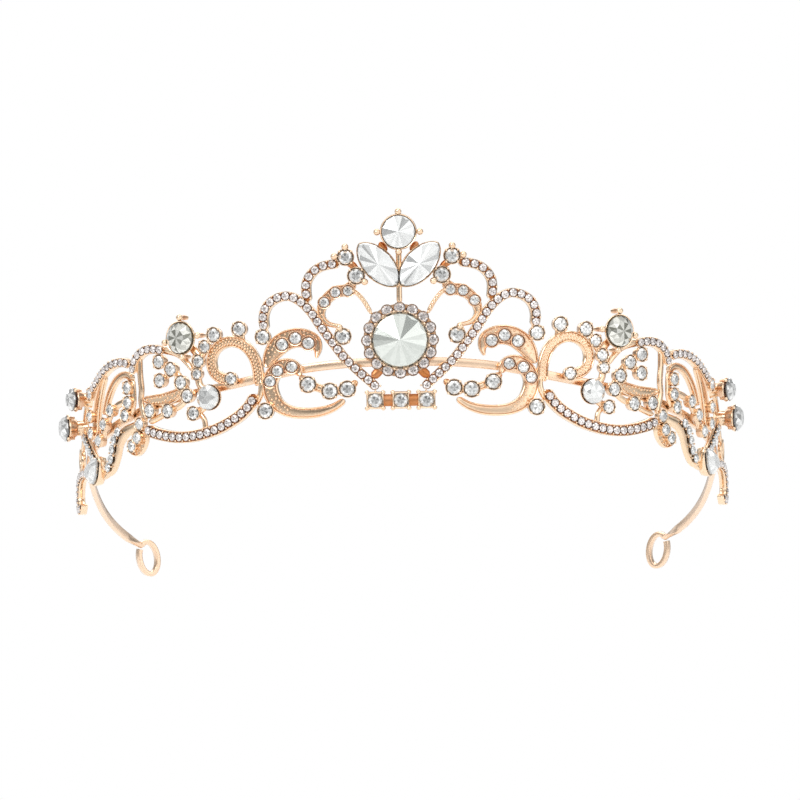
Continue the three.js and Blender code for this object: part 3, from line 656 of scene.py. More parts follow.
def fill_mesh(mesh, shell):
    mesh.vertices.add(len(shell.points))
    mesh.vertices.foreach_set("co", shell.points.astype(np.float32).ravel())
    mesh.loops.add(len(shell.corners))
    mesh.loops.foreach_set("vertex_index", shell.corners.astype(np.int32))
    mesh.polygons.add(len(shell.sizes))
    starts = np.cumsum(shell.sizes) - shell.sizes
    mesh.polygons.foreach_set("loop_start", starts.astype(np.int32))
    mesh.update(calc_edges=True)
    for name, domain in (("painted_shade", "POINT"), ("tone", "FACE"), ("spark", "POINT")):
        layer = mesh.attributes.new(name, "FLOAT", domain)
        layer.data.foreach_set("value", getattr(shell, name).astype(np.float32))
    mesh.validate()


def read_mesh(mesh):
    """A mesh made by a tree, as a shell."""
    points = np.zeros(3 * len(mesh.vertices), np.float32)
    mesh.vertices.foreach_get("co", points)
    corners = np.zeros(len(mesh.loops), np.int32)
    mesh.loops.foreach_get("vertex_index", corners)
    sizes = np.zeros(len(mesh.polygons), np.int32)
    mesh.polygons.foreach_get("loop_total", sizes)
    shell = object.__new__(Shell)
    shell.points, shell.corners, shell.sizes = points.reshape(-1, 3).astype(float), corners, sizes
    for name, count in (("painted_shade", len(mesh.vertices)), ("tone", len(sizes)),
                        ("spark", len(mesh.vertices))):
        values = np.full(count, 0.5, np.float32)
        layer = mesh.attributes.get(name)
        if layer is not None and len(layer.data) == count:
            layer.data.foreach_get("value", values)
        setattr(shell, name, values.astype(float))
    return shell


def grown(tree, base, shape, finish, seed=1, **sizes):
    """Runs a tree on a base object and gives its result as a shell; the base is used up."""
    values = {"Shape": shape, "Finish": finish, "Seed": seed, **sizes}
    modifier = base.modifiers.new("grow", "NODES")
    modifier.node_group = tree
    for item in tree.interface.items_tree:
        if item.in_out == "INPUT" and item.name in values:
            modifier[item.identifier] = values[item.name]
    bpy.context.view_layer.update()
    evaluated = base.evaluated_get(bpy.context.evaluated_depsgraph_get())
    mesh = bpy.data.meshes.new_from_object(evaluated)
    shell = read_mesh(mesh)
    bpy.data.objects.remove(base)
    bpy.data.meshes.remove(mesh)
    return shell


def copies_at(shape, finish, places, seed=1):
    """Copies of a shape at [arc, height, lift, turn, size] places."""
    places = np.array(places, float)
    base = mesh_object("places", points=places[:, :3].tolist())
    for name, column in (("turn", 3), ("size", 4)):
        layer = base.data.attributes.new(name, "FLOAT", "POINT")
        layer.data.foreach_set("value", places[:, column].astype(np.float32))
    return grown(AT_PLACES, base, shape, finish, seed)


def copies_along(shape, finish, line, count, size, start=0.0, end=1.0, side=0.0, lift=0.0,
                 spin=0.0, seed=1):
    """Copies of a shape at equal steps along a share of a line."""
    points = np.column_stack([line[:, :2], np.zeros(len(line))])
    edges = [(i, i + 1) for i in range(len(line) - 1)]
    base = mesh_object("line", points=points.tolist(), edges=edges)
    return grown(ALONG_ROUTE, base, shape, finish, seed, Start=start, End=end, Count=count,
                 Size=size, Side=side, Lift=lift, Spin=spin)


def grain_over(route, width, finish, seed, twig, start, end):
    """Grain on a share of the sunken field of a rimmed limb."""
    line = smooth_route(route, width)
    length = line_length(line)
    first = max(GRAIN_MARGIN, start * length)
    last = min(length - GRAIN_MARGIN, end * length)
    line = stations(line, np.linspace(first, last, GRAIN_STEPS))
    way = directions(line)
    half = np.maximum(line[:, 2] / 2 - np.minimum(RIM_WIDE, 0.225 * line[:, 2]) - 0.12, 0.02)
    lift = CAST_DEPTH - twig * TWIG_STEP - FIELD_SINK + 0.06
    rows = [np.column_stack([line[:, 0] - way[:, 1] * half * side, line[:, 1] + way[:, 0] * half * side,
                             np.full(len(line), lift)]) for side in (-1, 1)]
    points = np.vstack(rows)
    count = len(line)
    mesh = bpy.data.meshes.new("field")
    mesh.from_pydata(points.tolist(), [], [(i, i + 1, count + i + 1, count + i)
                                           for i in range(count - 1)])
    base = bpy.data.objects.new("field", mesh)
    bpy.context.scene.collection.objects.link(base)
    return grown(GRAIN, base, GRAIN_SHAPE, finish, seed, Pitch=GRAIN_PITCH, Size=GRAIN_SIZE)


def grain_rows(route, width, seed):
    """Three even rows of grain along the sunken field of a limb of one width."""
    line = smooth_route(route, width)
    count = round(line_length(line) / GRAIN_PITCH)
    lift = CAST_DEPTH - FIELD_SINK + 0.1
    step = width / 2 - RIM_WIDE - GRAIN_SIZE / 2 + 0.05
    return [copies_along(GRAIN_SHAPE, CAST_GOLD, line, count - row % 2, GRAIN_SIZE,
                         0.01 + 0.5 * (row % 2) / count, 0.99 - 0.5 * (row % 2) / count,
                         side=(row - 1) * step, lift=lift, seed=seed) for row in range(3)]


# ---------- finishes ----------
def shader_group(name, inputs, outputs):
    group = bpy.data.node_groups.new(name, "ShaderNodeTree")
    for label, kind, value in inputs:
        socket = group.interface.new_socket(label, in_out="INPUT", socket_type="NodeSocket" + kind)
        socket.default_value = value
    for label, kind in outputs:
        group.interface.new_socket(label, in_out="OUTPUT", socket_type="NodeSocket" + kind)
    return group, group.nodes.new("NodeGroupInput"), group.nodes.new("NodeGroupOutput")


def attribute(tree, name):
    return node(tree, "ShaderNodeAttribute", attribute_name=name).outputs["Fac"]


def mix_colour(tree, factor, first, second):
    mixer = node(tree, "ShaderNodeMix", data_type="RGBA")
    for index, value in ((MIX_FACTOR, factor), (MIX_FIRST, first), (MIX_SECOND, second)):
        tree.links.new(value, mixer.inputs[index])
    return mixer.outputs[MIX_RESULT]


def plating_group():
    """Rose-gold plating: brighter on what stands proud; painted shade makes it deeper in colour in the
    recesses and on the links, where it is also duller; a random mottle mixes in the same colour.
    """
    group, source, result = shader_group("plating", [
        ("Bright", "Color", (1, 1, 1, 1)), ("Shade And Mottle", "Color", (0, 0, 0, 1)),
        ("Polish", "Float", 0.15), ("Dullness", "Float", 0.4), ("Grain", "Float", 900.0)],
        [("Colour", "Color"), ("Roughness", "Float"), ("Height", "Float")])
    place = node(group, "ShaderNodeTexCoord").outputs["Object"]
    cloud = node(group, "ShaderNodeTexNoise", {"Vector": place, "Scale": 160.0, "Detail": 3.0})
    fine = node(group, "ShaderNodeTexNoise", {"Vector": place, "Scale": source.outputs["Grain"],
                                              "Detail": 4.0})
    painted_shade = attribute(group, "painted_shade")
    drift = math_node(group, "MULTIPLY_ADD", cloud.outputs["Fac"], 0.5, -0.14)
    shade_mix = node(group, "ShaderNodeMath", {0: painted_shade, 1: drift}, operation="ADD", use_clamp=True)
    # Painted shade: the shade-and-mottle colour is mixed in by the recess shade attribute and by a random
    # cloud mottle.
    colour = mix_colour(group, shade_mix.outputs[0], source.outputs["Bright"], source.outputs["Shade And Mottle"])
    spread = node(group, "ShaderNodeMapRange", {
        "Value": shade_mix.outputs[0], "To Min": source.outputs["Polish"],
        "To Max": source.outputs["Dullness"]})
    smear = math_node(group, "MULTIPLY_ADD", fine.outputs["Fac"], 0.12, -0.06)
    rough = math_node(group, "ADD", spread.outputs[0], smear)
    group.links.new(colour, result.inputs["Colour"])
    group.links.new(rough, result.inputs["Roughness"])
    group.links.new(fine.outputs["Fac"], result.inputs["Height"])
    return group


def facets_group():
    """Foiled crystal with painted reflections: each facet takes its own painted reflection, from dark to
    light, and each stone its own share of painted sparkle.
    """
    group, source, result = shader_group("facets", [
        ("Light", "Color", (1, 1, 1, 1)), ("Dark", "Color", (0, 0, 0, 1)),
        ("Contrast", "Float", 1.0), ("Gloss", "Float", 0.05)],
        [("Colour", "Color"), ("Roughness", "Float")])
    place = node(group, "ShaderNodeTexCoord").outputs["Object"]
    flaw = node(group, "ShaderNodeTexNoise", {"Vector": place, "Scale": 420.0, "Detail": 2.0})
    tone = math_node(group, "MULTIPLY_ADD", attribute(group, "tone"), 0.8,
                     math_node(group, "MULTIPLY_ADD", attribute(group, "spark"), 0.35, -0.08))
    veined = math_node(group, "MULTIPLY_ADD", flaw.outputs["Fac"], 0.3,
                       math_node(group, "ADD", tone, -0.15))
    centred = math_node(group, "MULTIPLY_ADD", math_node(group, "ADD", veined, -0.5),
                        source.outputs["Contrast"], 0.5)
    shade = node(group, "ShaderNodeMath", {0: centred, 1: 0.0}, operation="ADD", use_clamp=True)
    colour = mix_colour(group, shade.outputs[0], source.outputs["Dark"], source.outputs["Light"])
    rough = math_node(group, "MULTIPLY_ADD", flaw.outputs["Fac"], 0.05, source.outputs["Gloss"])
    group.links.new(colour, result.inputs["Colour"])
    group.links.new(rough, result.inputs["Roughness"])
    return group


def new_material(name, group, values, shader, bump=0.0):
    material = bpy.data.materials.new(name)
    material.use_nodes = True
    tree = material.node_tree
    principled = tree.nodes["Principled BSDF"]
    effect = tree.nodes.new("ShaderNodeGroup")
    effect.node_tree = group
    for label, value in values.items():
        effect.inputs[label].default_value = value
    tree.links.new(effect.outputs["Colour"], principled.inputs["Base Color"])
    tree.links.new(effect.outputs["Roughness"], principled.inputs["Roughness"])
    for label, value in shader.items():
        principled.inputs[label].default_value = value
    if bump:
        relief = node(tree, "ShaderNodeBump", {
            "Strength": bump, "Distance": 0.00005, "Height": effect.outputs["Height"]})
        tree.links.new(relief.outputs[0], principled.inputs["Normal"])
    return material


PLATING = plating_group()
FACETS = facets_group()
# The second colour of the cast plating is painted shade for recesses, cups and links, and a random
# mottle; on the band it is only a mottle.
CAST_GOLD = new_material("cast rose gold", PLATING, {
    "Bright": (0.93, 0.725, 0.52, 1), "Shade And Mottle": (0.52, 0.19, 0.06, 1), "Polish": 0.12,
    "Dullness": 0.35, "Grain": 2600.0}, {"Metallic": 1.0}, bump=0.2)
BAND_GOLD = new_material("band rose gold", PLATING, {
    "Bright": (0.89, 0.67, 0.49, 1), "Shade And Mottle": (0.74, 0.47, 0.30, 1), "Polish": 0.22,
    "Dullness": 0.34, "Grain": 280.0}, {"Metallic": 1.0})
CRYSTAL = {"Metallic": 0.55, "IOR": 1.6, "Coat Weight": 1.0, "Coat Roughness": 0.02}
# The Light and Dark colours of the stones are painted reflections, picked per facet and per stone.
CLEAR = new_material("clear stone", FACETS, {
    "Light": (0.98, 0.99, 0.98, 1), "Dark": (0.10, 0.10, 0.10, 1), "Contrast": 1.2,
    "Gloss": 0.03}, CRYSTAL)
PALE = new_material("pale clear stone", FACETS, {
    "Light": (0.84, 0.85, 0.84, 1), "Dark": (0.38, 0.39, 0.39, 1), "Contrast": 1.1,
    "Gloss": 0.03}, CRYSTAL)
PAVE = new_material("pave stone", FACETS, {
    "Light": (0.95, 0.90, 0.88, 1), "Dark": (0.17, 0.13, 0.12, 1), "Contrast": 1.3,
    "Gloss": 0.04}, CRYSTAL)
# A clear stone whose facets carry stronger, darker painted reflections.
DARK_REFLECTION_STONE = new_material("clear stone with dark painted reflections", FACETS, {
    "Light": (0.86, 0.86, 0.80, 1), "Dark": (0.10, 0.10, 0.07, 1), "Contrast": 1.5,
    "Gloss": 0.03}, CRYSTAL)
POINTED = new_material("pointed stone", FACETS, {
    "Light": (0.70, 0.73, 0.69, 1), "Dark": (0.40, 0.43, 0.40, 1), "Contrast": 1.0,
    "Gloss": 0.03}, CRYSTAL)

AT_PLACES = tree_at_places()
ALONG_ROUTE = tree_along_route()
GRAIN = tree_grain()


def shape_object(name, shell):
    made = mesh_object(name, shell)
    made.hide_render = True
    return made


GRAIN_SHAPE = shape_object("grain", bead())
BEAD_SHAPE = shape_object("bead", bead(10))
CUP_SHAPE = shape_object("cup", small_cup())
SEAT_SHAPE = shape_object("seat", seat_ring())
BIG_CUP_SHAPE = shape_object("gallery", big_cup())
PRONG_SHAPE = shape_object("prong", ball_prong())
ROUND_CUT = shape_object("round cut", cut_stone(seed=3))
PAVE_CUT = shape_object("pave cut", pave_stone())
SHAPES = [GRAIN_SHAPE, BEAD_SHAPE, CUP_SHAPE, SEAT_SHAPE, BIG_CUP_SHAPE, PRONG_SHAPE, ROUND_CUT,
          PAVE_CUT]


# ---------- finished pieces ----------
def finish_piece(name, shells, material, nodes=(), smooth=True, left=False):
    """Bends the shells round the head, makes the piece and stands it in for its frame nodes."""
    shell = joined(shells).mapped(lambda points: bend(points) * MM)
    if left:
        shell = shell.mirrored()
    made = mesh_object(name, shell)
    made.data.polygons.foreach_set("use_smooth", [smooth] * len(made.data.polygons))
    if smooth:
        made.data.set_sharp_from_angle(angle=SMOOTH_ANGLE)
    made.data.materials.append(material)
    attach(made, "root")
    if nodes:
        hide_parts(*nodes)


def pair(name, shells, material, replaces=(), smooth=True):
    """The right and left twins of a piece."""
    for side in ("right", "left"):
        nodes = [f"{base}_{side}" for base in replaces]
        finish_piece(f"{name}_{side}", shells, material, nodes, smooth, left=side == "left")


# How each casting is made: its limbs by kind, and its stones.
CASTINGS = {
    "crest_scroll": {"channels": [(CREST, CHANNEL, 0)], "raised": [(29.2, 13.9, 3.2)]},
    "crest_arches": {
        "channels": [(CREST_ARCH, CHANNEL, 0)], "rimmed": [(CURL, CHANNEL, 0)],
        "grained": [(CURL, CHANNEL, 0, 0, 0.75)],
        # The arch link is painted with recess shade all over.
        "wires": [(CURL_TAIL, 1.0, 1)], "shaded": [(ARCH_LINK, 1.6, 1)],
        "raised": [(11.2, 30.5, 3.4), (9, 26.5, 3.5), (12, 13.7, 3.4)],
        "sunk": [(10.8, 23.4, 2.4), (13.5, 23.1, 2.4), (15.9, 21, 2.4)],
        "beaded": [(CURL_TAIL, 0.75)],
        "balls": [(11.2, 30.5, 90, 2.2), (11.2, 30.5, 5, 2.3), (9, 26.5, 216, 2.25),
                  (12, 13.7, 72, 2.0)]},
    "upper_leaf": {
        "rimmed": [(UPPER_LEAF, CHANNEL, 0)], "grained": [(UPPER_LEAF, CHANNEL, 0, 0.2, 0.9)],
        "sunk": [(19.4, 12.4, 2.8), (22.2, 13.5, 2.8), (25.1, 12.2, 2.8)]},
    "lower_leaf": {
        "rimmed": [(LOWER_LEAF, CHANNEL, 0), (LEAF_TAIL, CHANNEL, 1)],
        "grained": [(LOWER_LEAF, CHANNEL, 0, 0.06, 0.6)],
        "raised": [(11.2, 2.5, 3.4), (14.9, 2.1, 3.4), (19.5, 3.6, 3.4), (28.8, -1.9, 3.4)],
        "sunk": [(23.1, 7.4, 2.6), (26.2, 6.6, 2.6), (27.9, 4.4, 2.6)]},
    "loop_scroll": {
        "rimmed": [(LOOP_SCROLL, SCROLL_WIDTH, 0)], "ribbed": [(LOOP_SCROLL, SCROLL_WIDTH)],
        "wires": [(LOOP_STEM, 1.4, 1)],
        "raised": [(34.5, 15.7, 3.2), (40.5, 14.6, 3.2), (36.7, 5.1, 2.8)]},
    "side_cluster": {
        "wires": [(CLUSTER_STEM, 1.6, 0), (SIDE_STONE_STEM, 1.8, 1), (LOW_STEM, 1.6, 1)],
        "raised": [(42.9, 12.1, 2.8), (44.5, 9.0, 2.9), (45.0, 6.3, 2.6), (45.9, -2.2, 3)],
        "cups": [(*SIDE_STONE_AT, SIDE_STONE, 0), (*ROUND_STONE_AT, ROUND_STONE, 0)],
        "balls": [(*SIDE_STONE_AT, 90, 4.4), (*SIDE_STONE_AT, 174, 4.5), (*SIDE_STONE_AT, -13, 4.1),
                  (*SIDE_STONE_AT, 262, 4.1)]},
    "side_arch": {"channels": [(SIDE_ARCH, CHANNEL, 0, 0.42, 1.0)],
                  "wires": [(SIDE_ARCH, CHANNEL, 0, 0.0, 0.44), (ARCH_STEM, 1.5, 1)]},
    "spray_branch": {
        "rimmed": [(SPRAY_LEAF, CHANNEL, 0)], "grained": [(SPRAY_LEAF, CHANNEL, 0, 0, 1)],
        "wires": [(SPRAY_TWIG, 1.6, 1), (SPRAY_FORK, 1.6, 2), (LOW_TWIG, 1.4, 1)],
        "raised": [(55, 9.1, 3.1), (51.7, 7.4, 3.1), (54.8, 5.0, 3.1), (49, 4.5, 3.1),
                   (47.4, 1.6, 3.1), (52.7, -1.6, 3.1), (58, -1.5, 3.1)]},
    "side_arc": {"channels": [(SIDE_ARC_STROKE, 2.5, 0)],
                 "wires": [(ARC_STEM, 1.2, 1), (ARC_START, 1.3, 0)]},
    "rear_arch": {
        "channels": [(REAR_ARCH, CHANNEL, 0)], "rimmed": [(REAR_FIELD, CHANNEL, 1)],
        "raised": [(82.8, 2.3, 2.9), (82.7, -2.6, 2.9), (82.2, -6.4, 2.9)]},
    "rear_scroll": {
        "rimmed": [(INNER_ARCH, 1.6, 0)], "wires": [(REAR_TWIG, 1.6, 1), (LEAF_BACK, CHANNEL, 2)],
        "raised": [(65.4, 3.6, 2.9), (65.3, 0.3, 2.9), (66.3, -2.5, 2.9), (72.1, -1.3, 2.9),
                   (75.3, -4.4, 2.9), (77.8, -8.0, 2.9)]},
    "rear_stem": {
        "wires": [(REAR_STEM, CHANNEL, 0), (STEM_LINK, 2.0, 2)],
        "rimmed": [(REAR_LEAF, CHANNEL, 1)], "grained": [(REAR_LEAF, CHANNEL, 1, 0, 1)],
        "raised": [(61.4, -4.4, 2.8), (62.3, -7.4, 2.8), (64.1, -9.2, 2.8)],
        "rows": [(REAR_CHAIN, 2.2, 0.0, 1.0)]},
    "end_spray": {
        "wires": [(END_CHAIN, CHANNEL, 0), (END_TWIG, 1.8, 1), (RING_STEM, 1.6, 2)],
        "rows": [(END_CHAIN, 2.1, 0.14, 0.8)],
        "cups": [(*OUTER_STONE_AT, OUTER_STONE, OUTER_RISE), (*REAR_STONE_AT, REAR_STONE, REAR_RISE)]},
    "end_crest": {"channels": [(END_CREST, CHANNEL, 0)], "wires": [(CREST_LINK, 1.3, 2)]},
}

# Rows of pave stones: the frame's node, the route, and the share of it that is set.
PAVE_ROWS = {
    "crest_pave": ("crest_scroll", CREST, 0, 1),
    "arch_pave": ("crest_arches", CREST_ARCH, 0.04, 0.95),
    "side_arc_pave": ("side_arc", SIDE_ARC_STROKE, 0.02, 1),
    "side_arch_pave": ("side_arch", SIDE_ARCH, 0.42, 1),
    "rear_arch_pave": ("rear_arch", REAR_ARCH, 0, 1),
    "end_pave": ("end_crest", END_CREST, 0.03, 0.97),
}


def row_stones(route, size, start, end, lift, finish, seed):
    """Stones side by side along a share of a route."""
    line = smooth_route(route)
    count = round(line_length(line) * (end - start) / size)
    half = (end - start) / count / 2
    return copies_along(PAVE_CUT, finish, line, count, size / 2 * PAVE_WIDE, start + half, end - half,
                        lift=lift, spin=math.tau, seed=seed)


def row_beads(route, size, start, end, lift, seed):
    """A bead each side of every joint between the stones of a row."""
    line = smooth_route(route)
    count = round(line_length(line) * (end - start) / size) + 1
    return [copies_along(BEAD_SHAPE, CAST_GOLD, line, count, BEAD_SIZE, start, end,
                         side=side * size * 0.42, lift=lift, seed=seed) for side in (-1, 1)]


def raised_settings(stones):
    """Cups and claws for small stones that stand on the castings."""
    cups = [(arc, height, CUP_FOOT, 0, size / 2) for arc, height, size in stones]
    claws = []
    for arc, height, size in stones:
        lift = CUP_FOOT + size / 2 * 1.05
        reach = size / 2 * 1.04
        for k in range(4):
            angle = math.radians(45 + 90 * k)
            x, y = arc + reach * math.cos(angle), height + reach * math.sin(angle)
            claws.append((x, y, lift, 0, CLAW_SIZE))
    return [copies_at(CUP_SHAPE, CAST_GOLD, cups), copies_at(BEAD_SHAPE, CAST_GOLD, claws)]


def stone_places(stones, lift=None):
    """Places of small stones; without a lift they sit in cups of their own size."""
    return [(arc, height, CUP_FOOT + size / 2 * 0.98 if lift is None else lift, 0.7 * i,
             size / 2 * STONE_SHARE)
            for i, (arc, height, size) in enumerate(stones)]


def ball_places(balls):
    """Places of ball tips from [arc, height, angle, reach] about the stones they hold."""
    places = []
    for arc, height, angle, reach in balls:
        way = math.radians(angle)
        places.append((arc + reach * math.cos(way), height + reach * math.sin(way),
                       CAST_DEPTH + 1.1, way, BALL_SIZE))
    return places


def make_casting(name, made_of, seed):
    """The metal of one casting and its small stones, right and left."""
    metal = []
    for kind, profile in (("channels", channel), ("rimmed", rimmed), ("wires", wire)):
        for route, width, twig, *share in made_of.get(kind, ()):
            metal.append(strip(route, profile, width, twig, *share))
    for route, width, twig, start, end in made_of.get("grained", ()):
        metal.append(grain_over(route, width, CAST_GOLD, seed, twig, start, end))
    for route, width in made_of.get("ribbed", ()):
        metal += grain_rows(route, width, seed)
    raised, sunk = made_of.get("raised", []), made_of.get("sunk", [])
    if raised:
        metal += raised_settings(raised)
    if sunk:
        metal.append(copies_at(SEAT_SHAPE, CAST_GOLD, [
            (arc, height, CAST_DEPTH, 0, size / 2) for arc, height, size in sunk]))
    for row in made_of.get("rows", ()):
        metal += row_beads(*row, ROW_LIFT, seed)
    for casting, route, start, end in PAVE_ROWS.values():
        if casting == name:
            metal += row_beads(route, PAVE_STONE, start, end, PAVE_LIFT, seed)
    # Link wires painted with recess shade all over.
    metal += [strip(route, wire, width, twig).shaded_all_over(LINK_SHADE)
              for route, width, twig in made_of.get("shaded", ())]
    metal += made_of.get("parts", [])
    for arc, height, size, rise in made_of.get("cups", ()):
        metal.append(copies_at(BIG_CUP_SHAPE, CAST_GOLD, [(arc, height, rise, 0, size / 2)]))
        if rise:
            metal.append(strip_post((arc, height), size * 0.3, rise))
            metal.append(copies_at(PRONG_SHAPE, CAST_GOLD, ball_ring((arc, height), size, rise)))
    for route, size in made_of.get("beaded", ()):
        line = smooth_route(route)
        metal.append(copies_along(BEAD_SHAPE, CAST_GOLD, line, round(line_length(line) / size), size,
                                  lift=CAST_DEPTH))
    if made_of.get("balls"):
        metal.append(copies_at(PRONG_SHAPE, CAST_GOLD, ball_places(made_of["balls"])))
    pair(name, metal, CAST_GOLD, [name])
    stones = []
    if raised:
        stones.append(copies_at(ROUND_CUT, CLEAR, stone_places(raised), seed))
    if sunk:
        stones.append(copies_at(ROUND_CUT, CLEAR, stone_places(sunk, CAST_DEPTH + 0.1), seed))
    for route, size, start, end in made_of.get("rows", ()):
        stones.append(row_stones(route, size, start, end, ROW_LIFT, CLEAR, seed))
    if stones:
        pair(name + "_stones", stones, CLEAR, smooth=False)


def strip_post(at, radius, rise):
    """The post under a cup that stands out from its casting."""
    post = turned([(0, 0), (radius * 1.3, 0), (radius, 0.5), (radius, rise), (0, rise)], sides=14)
    return post.mapped(lambda points: points + [*at, 0])


def ball_ring(at, size, rise, count=4, phase=45):
    """Places of the claws round a raised stone."""
    places = []
    reach = size / 2 + 0.25
    for k in range(count):
        angle = math.radians(phase + 360 * k / count)
        places.append((at[0] + reach * math.cos(angle), at[1] + reach * math.sin(angle),
                       rise + CAST_DEPTH + 0.95, angle, 0.8))
    return places


def single_stone(at, shape, size, lift, turn=0.0):
    """One large stone, turned and brought to its place on the pattern."""
    spin = math.radians(turn)
    turn_matrix = np.array([[math.cos(spin), -math.sin(spin), 0], [math.sin(spin), math.cos(spin), 0],
                            [0, 0, 1]])
    return shape.mapped(lambda points: points * size @ turn_matrix.T + [*at, lift])


def ring_of_wire(at, outer, inner):
    """A closed flat ring."""
    count = 40
    angle = 2 * np.pi * np.arange(count) / count
    middle, half = (outer + inner) / 2, (outer - inner) / 2
    section = [(-0.7, 0.1), (-1, 0.35), (-1, 0.85), (-0.6, 1.15), (0, 1.2), (0.6, 1.15), (1, 0.85),
               (1, 0.35), (0.7, 0.1)]
    rows = len(section)
    points, faces = [], []
    for i, turn in enumerate(angle):
        here, there = i * rows, ((i + 1) % count) * rows
        for k, (across, lift) in enumerate(section):
            reach = middle + half * across
            after = (k + 1) % rows
            points.append((at[0] + reach * math.cos(turn), at[1] + reach * math.sin(turn), lift))
            faces.append([here + k, there + k, there + after, here + after])
    return outward(Shell(points, faces))


def make_side_castings():
    collar = outline_collar(PEAR_AT, pear_outline, PEAR_STONE["length"], PEAR_STONE["turn"])
    CASTINGS["end_spray"]["parts"] = [collar, ring_of_wire(RING_AT, RING_OUTER, RING_INNER)]
    for seed, (name, made_of) in enumerate(CASTINGS.items(), start=1):
        make_casting(name, made_of, seed)
    for seed, (name, (_, route, start, end)) in enumerate(PAVE_ROWS.items(), start=31):
        pair(name, [row_stones(route, PAVE_STONE, start, end, PAVE_LIFT, PAVE, seed)], PAVE,
             [name], smooth=False)


def large_cut(outline=round_outline, mains=8, **settings):
    """A large stone's facets, with a thinner girdle than the small ones have."""
    return cut_stone(outline, mains, girdle=LARGE_GIRDLE, **settings)


def set_twins(name, at, shape, size, material, rise=0.0, turn=0.0):
    """The right and left large stones of one kind, on cups that stand out by the rise."""
    stone = single_stone(at, shape, size / 2, STONE_LIFT + GIRDLE_RISE + rise, turn)
    pair(name, [stone], material, [name], smooth=False)


def set_middle(name, at, shape, size, material):
    """A large stone on the middle line."""
    stone = single_stone(at, shape, size / 2, STONE_LIFT + GIRDLE_RISE)
    finish_piece(name, [stone], material, [name], smooth=False)


def make_large_stones():
    set_twins("side_stone", SIDE_STONE_AT, large_cut(mains=10, seed=11), SIDE_STONE * STONE_SHARE,
              DARK_REFLECTION_STONE)
    set_twins("round_stone", ROUND_STONE_AT, large_cut(seed=12, dark=0.35), ROUND_STONE, PALE)
    set_twins("pear_stone", PEAR_AT, large_cut(pear_outline, seed=13, dark=0.5),
              PEAR_STONE["length"], PALE, turn=PEAR_STONE["turn"])
    set_twins("outer_stone", OUTER_STONE_AT, large_cut(seed=14), OUTER_STONE, CLEAR, rise=OUTER_RISE)
    set_twins("rear_stone", REAR_STONE_AT, large_cut(seed=15), REAR_STONE, CLEAR, rise=REAR_RISE)
    navette = large_cut(navette_outline, 10, table=0, crown=0.24, belly=0.16, seed=16, dark=0.35)
    set_twins("leaf_stone", LEAF_STONE_AT, navette, LEAF_STONE["length"], PALE,
              turn=LEAF_STONE["turn"])
    top = large_cut(mains=12, table=0, crown=0.36, seed=17, dark=0.5)
    set_middle("top_stone", TOP_AT, top, TOP_STONE * 0.95, PALE)
    pointed = large_cut(mains=12, table=0, crown=0.40, belly=0.12, seed=18, dark=0.5)
    set_middle("medallion_stone", MEDALLION_AT, pointed, MEDALLION_STONE * 0.96, POINTED)


def halo(shape, finish, radius, size, lift, seed, phase=0.0, spin=0.0):
    """Copies of a shape in a ring round the medallion's stone."""
    places = []
    for k in range(HALO_COUNT):
        angle = 2 * math.pi * (k + phase) / HALO_COUNT
        places.append((MEDALLION_AT[0] + radius * math.cos(angle),
                       MEDALLION_AT[1] + radius * math.sin(angle), lift, angle + spin * k, size))
    return copies_at(shape, finish, places, seed)


def make_medallion():
    # The plate under the halo is painted with recess shade all over.
    plate = turned([(0, -0.15), (MEDALLION_R - 0.5, -0.15), (MEDALLION_R - 0.35, 0.1),
                    (MEDALLION_R - 0.35, CAST_DEPTH), (0, CAST_DEPTH)], sides=64, painted_shade=0.4)
    bezel = turned([(0, 0.5), (5.9, 0.5), (6.2, 1.2), (6.22, 2.0), (6.12, 2.3), (5.98, 2.3), (5.9, 1.8),
                    (0, 1.7)], sides=64)
    parts = [shell.mapped(lambda points: points + [*MEDALLION_AT, 0]) for shell in (plate, bezel)]
    parts.append(halo(CUP_SHAPE, CAST_GOLD, HALO_R, HALO_STONE / 2 * 0.97, 0.25, 41))
    parts.append(halo(BEAD_SHAPE, CAST_GOLD, MEDALLION_STONE / 2 + 0.2, 0.6, CAST_DEPTH + 1.05, 43, 0.5))
    for side in (-1, 1):
        foot = [[side * 3.6, 7.4], [side * 4.9, 5.9], [side * 6.0, 4.9]]
        # The feet are painted with recess shade all over.
        parts.append(strip(foot, wire, 2.0).shaded_all_over(LINK_SHADE))
    finish_piece("medallion_setting", parts, CAST_GOLD, ["medallion_setting"])
    stones = halo(ROUND_CUT, PAVE, HALO_R, HALO_STONE / 2 * 0.97, CAST_DEPTH + 0.6, 44, spin=0.9)
    finish_piece("halo_stones", [stones], PAVE, ["halo_stones"], smooth=False)


def outline_collar(at, outline, length, turn, top=CAST_DEPTH + 0.7, wall=0.32, count=48):
    """A collar that follows a stone's own outline, with a closed floor."""
    angle = 2 * np.pi * np.arange(count) / count
    u, v = outline(angle)
    spin = math.radians(turn)

    def ring(extra, lift):
        reach = np.hypot(u, v) * length / 2
        grow = (reach + extra) / reach
        x, y = u * length / 2 * grow, v * length / 2 * grow
        return np.column_stack([at[0] + x * math.cos(spin) - y * math.sin(spin),
                                at[1] + x * math.sin(spin) + y * math.cos(spin),
                                np.full(count, lift)])

    rings = [ring(-0.25, -0.15), ring(0.1, 0.0), ring(wall, 0.9), ring(wall, top - 0.08),
             ring(wall - 0.1, top), ring(0.05, top - 0.05), ring(-0.3, top - 0.45)]
    return loft(np.stack(rings))


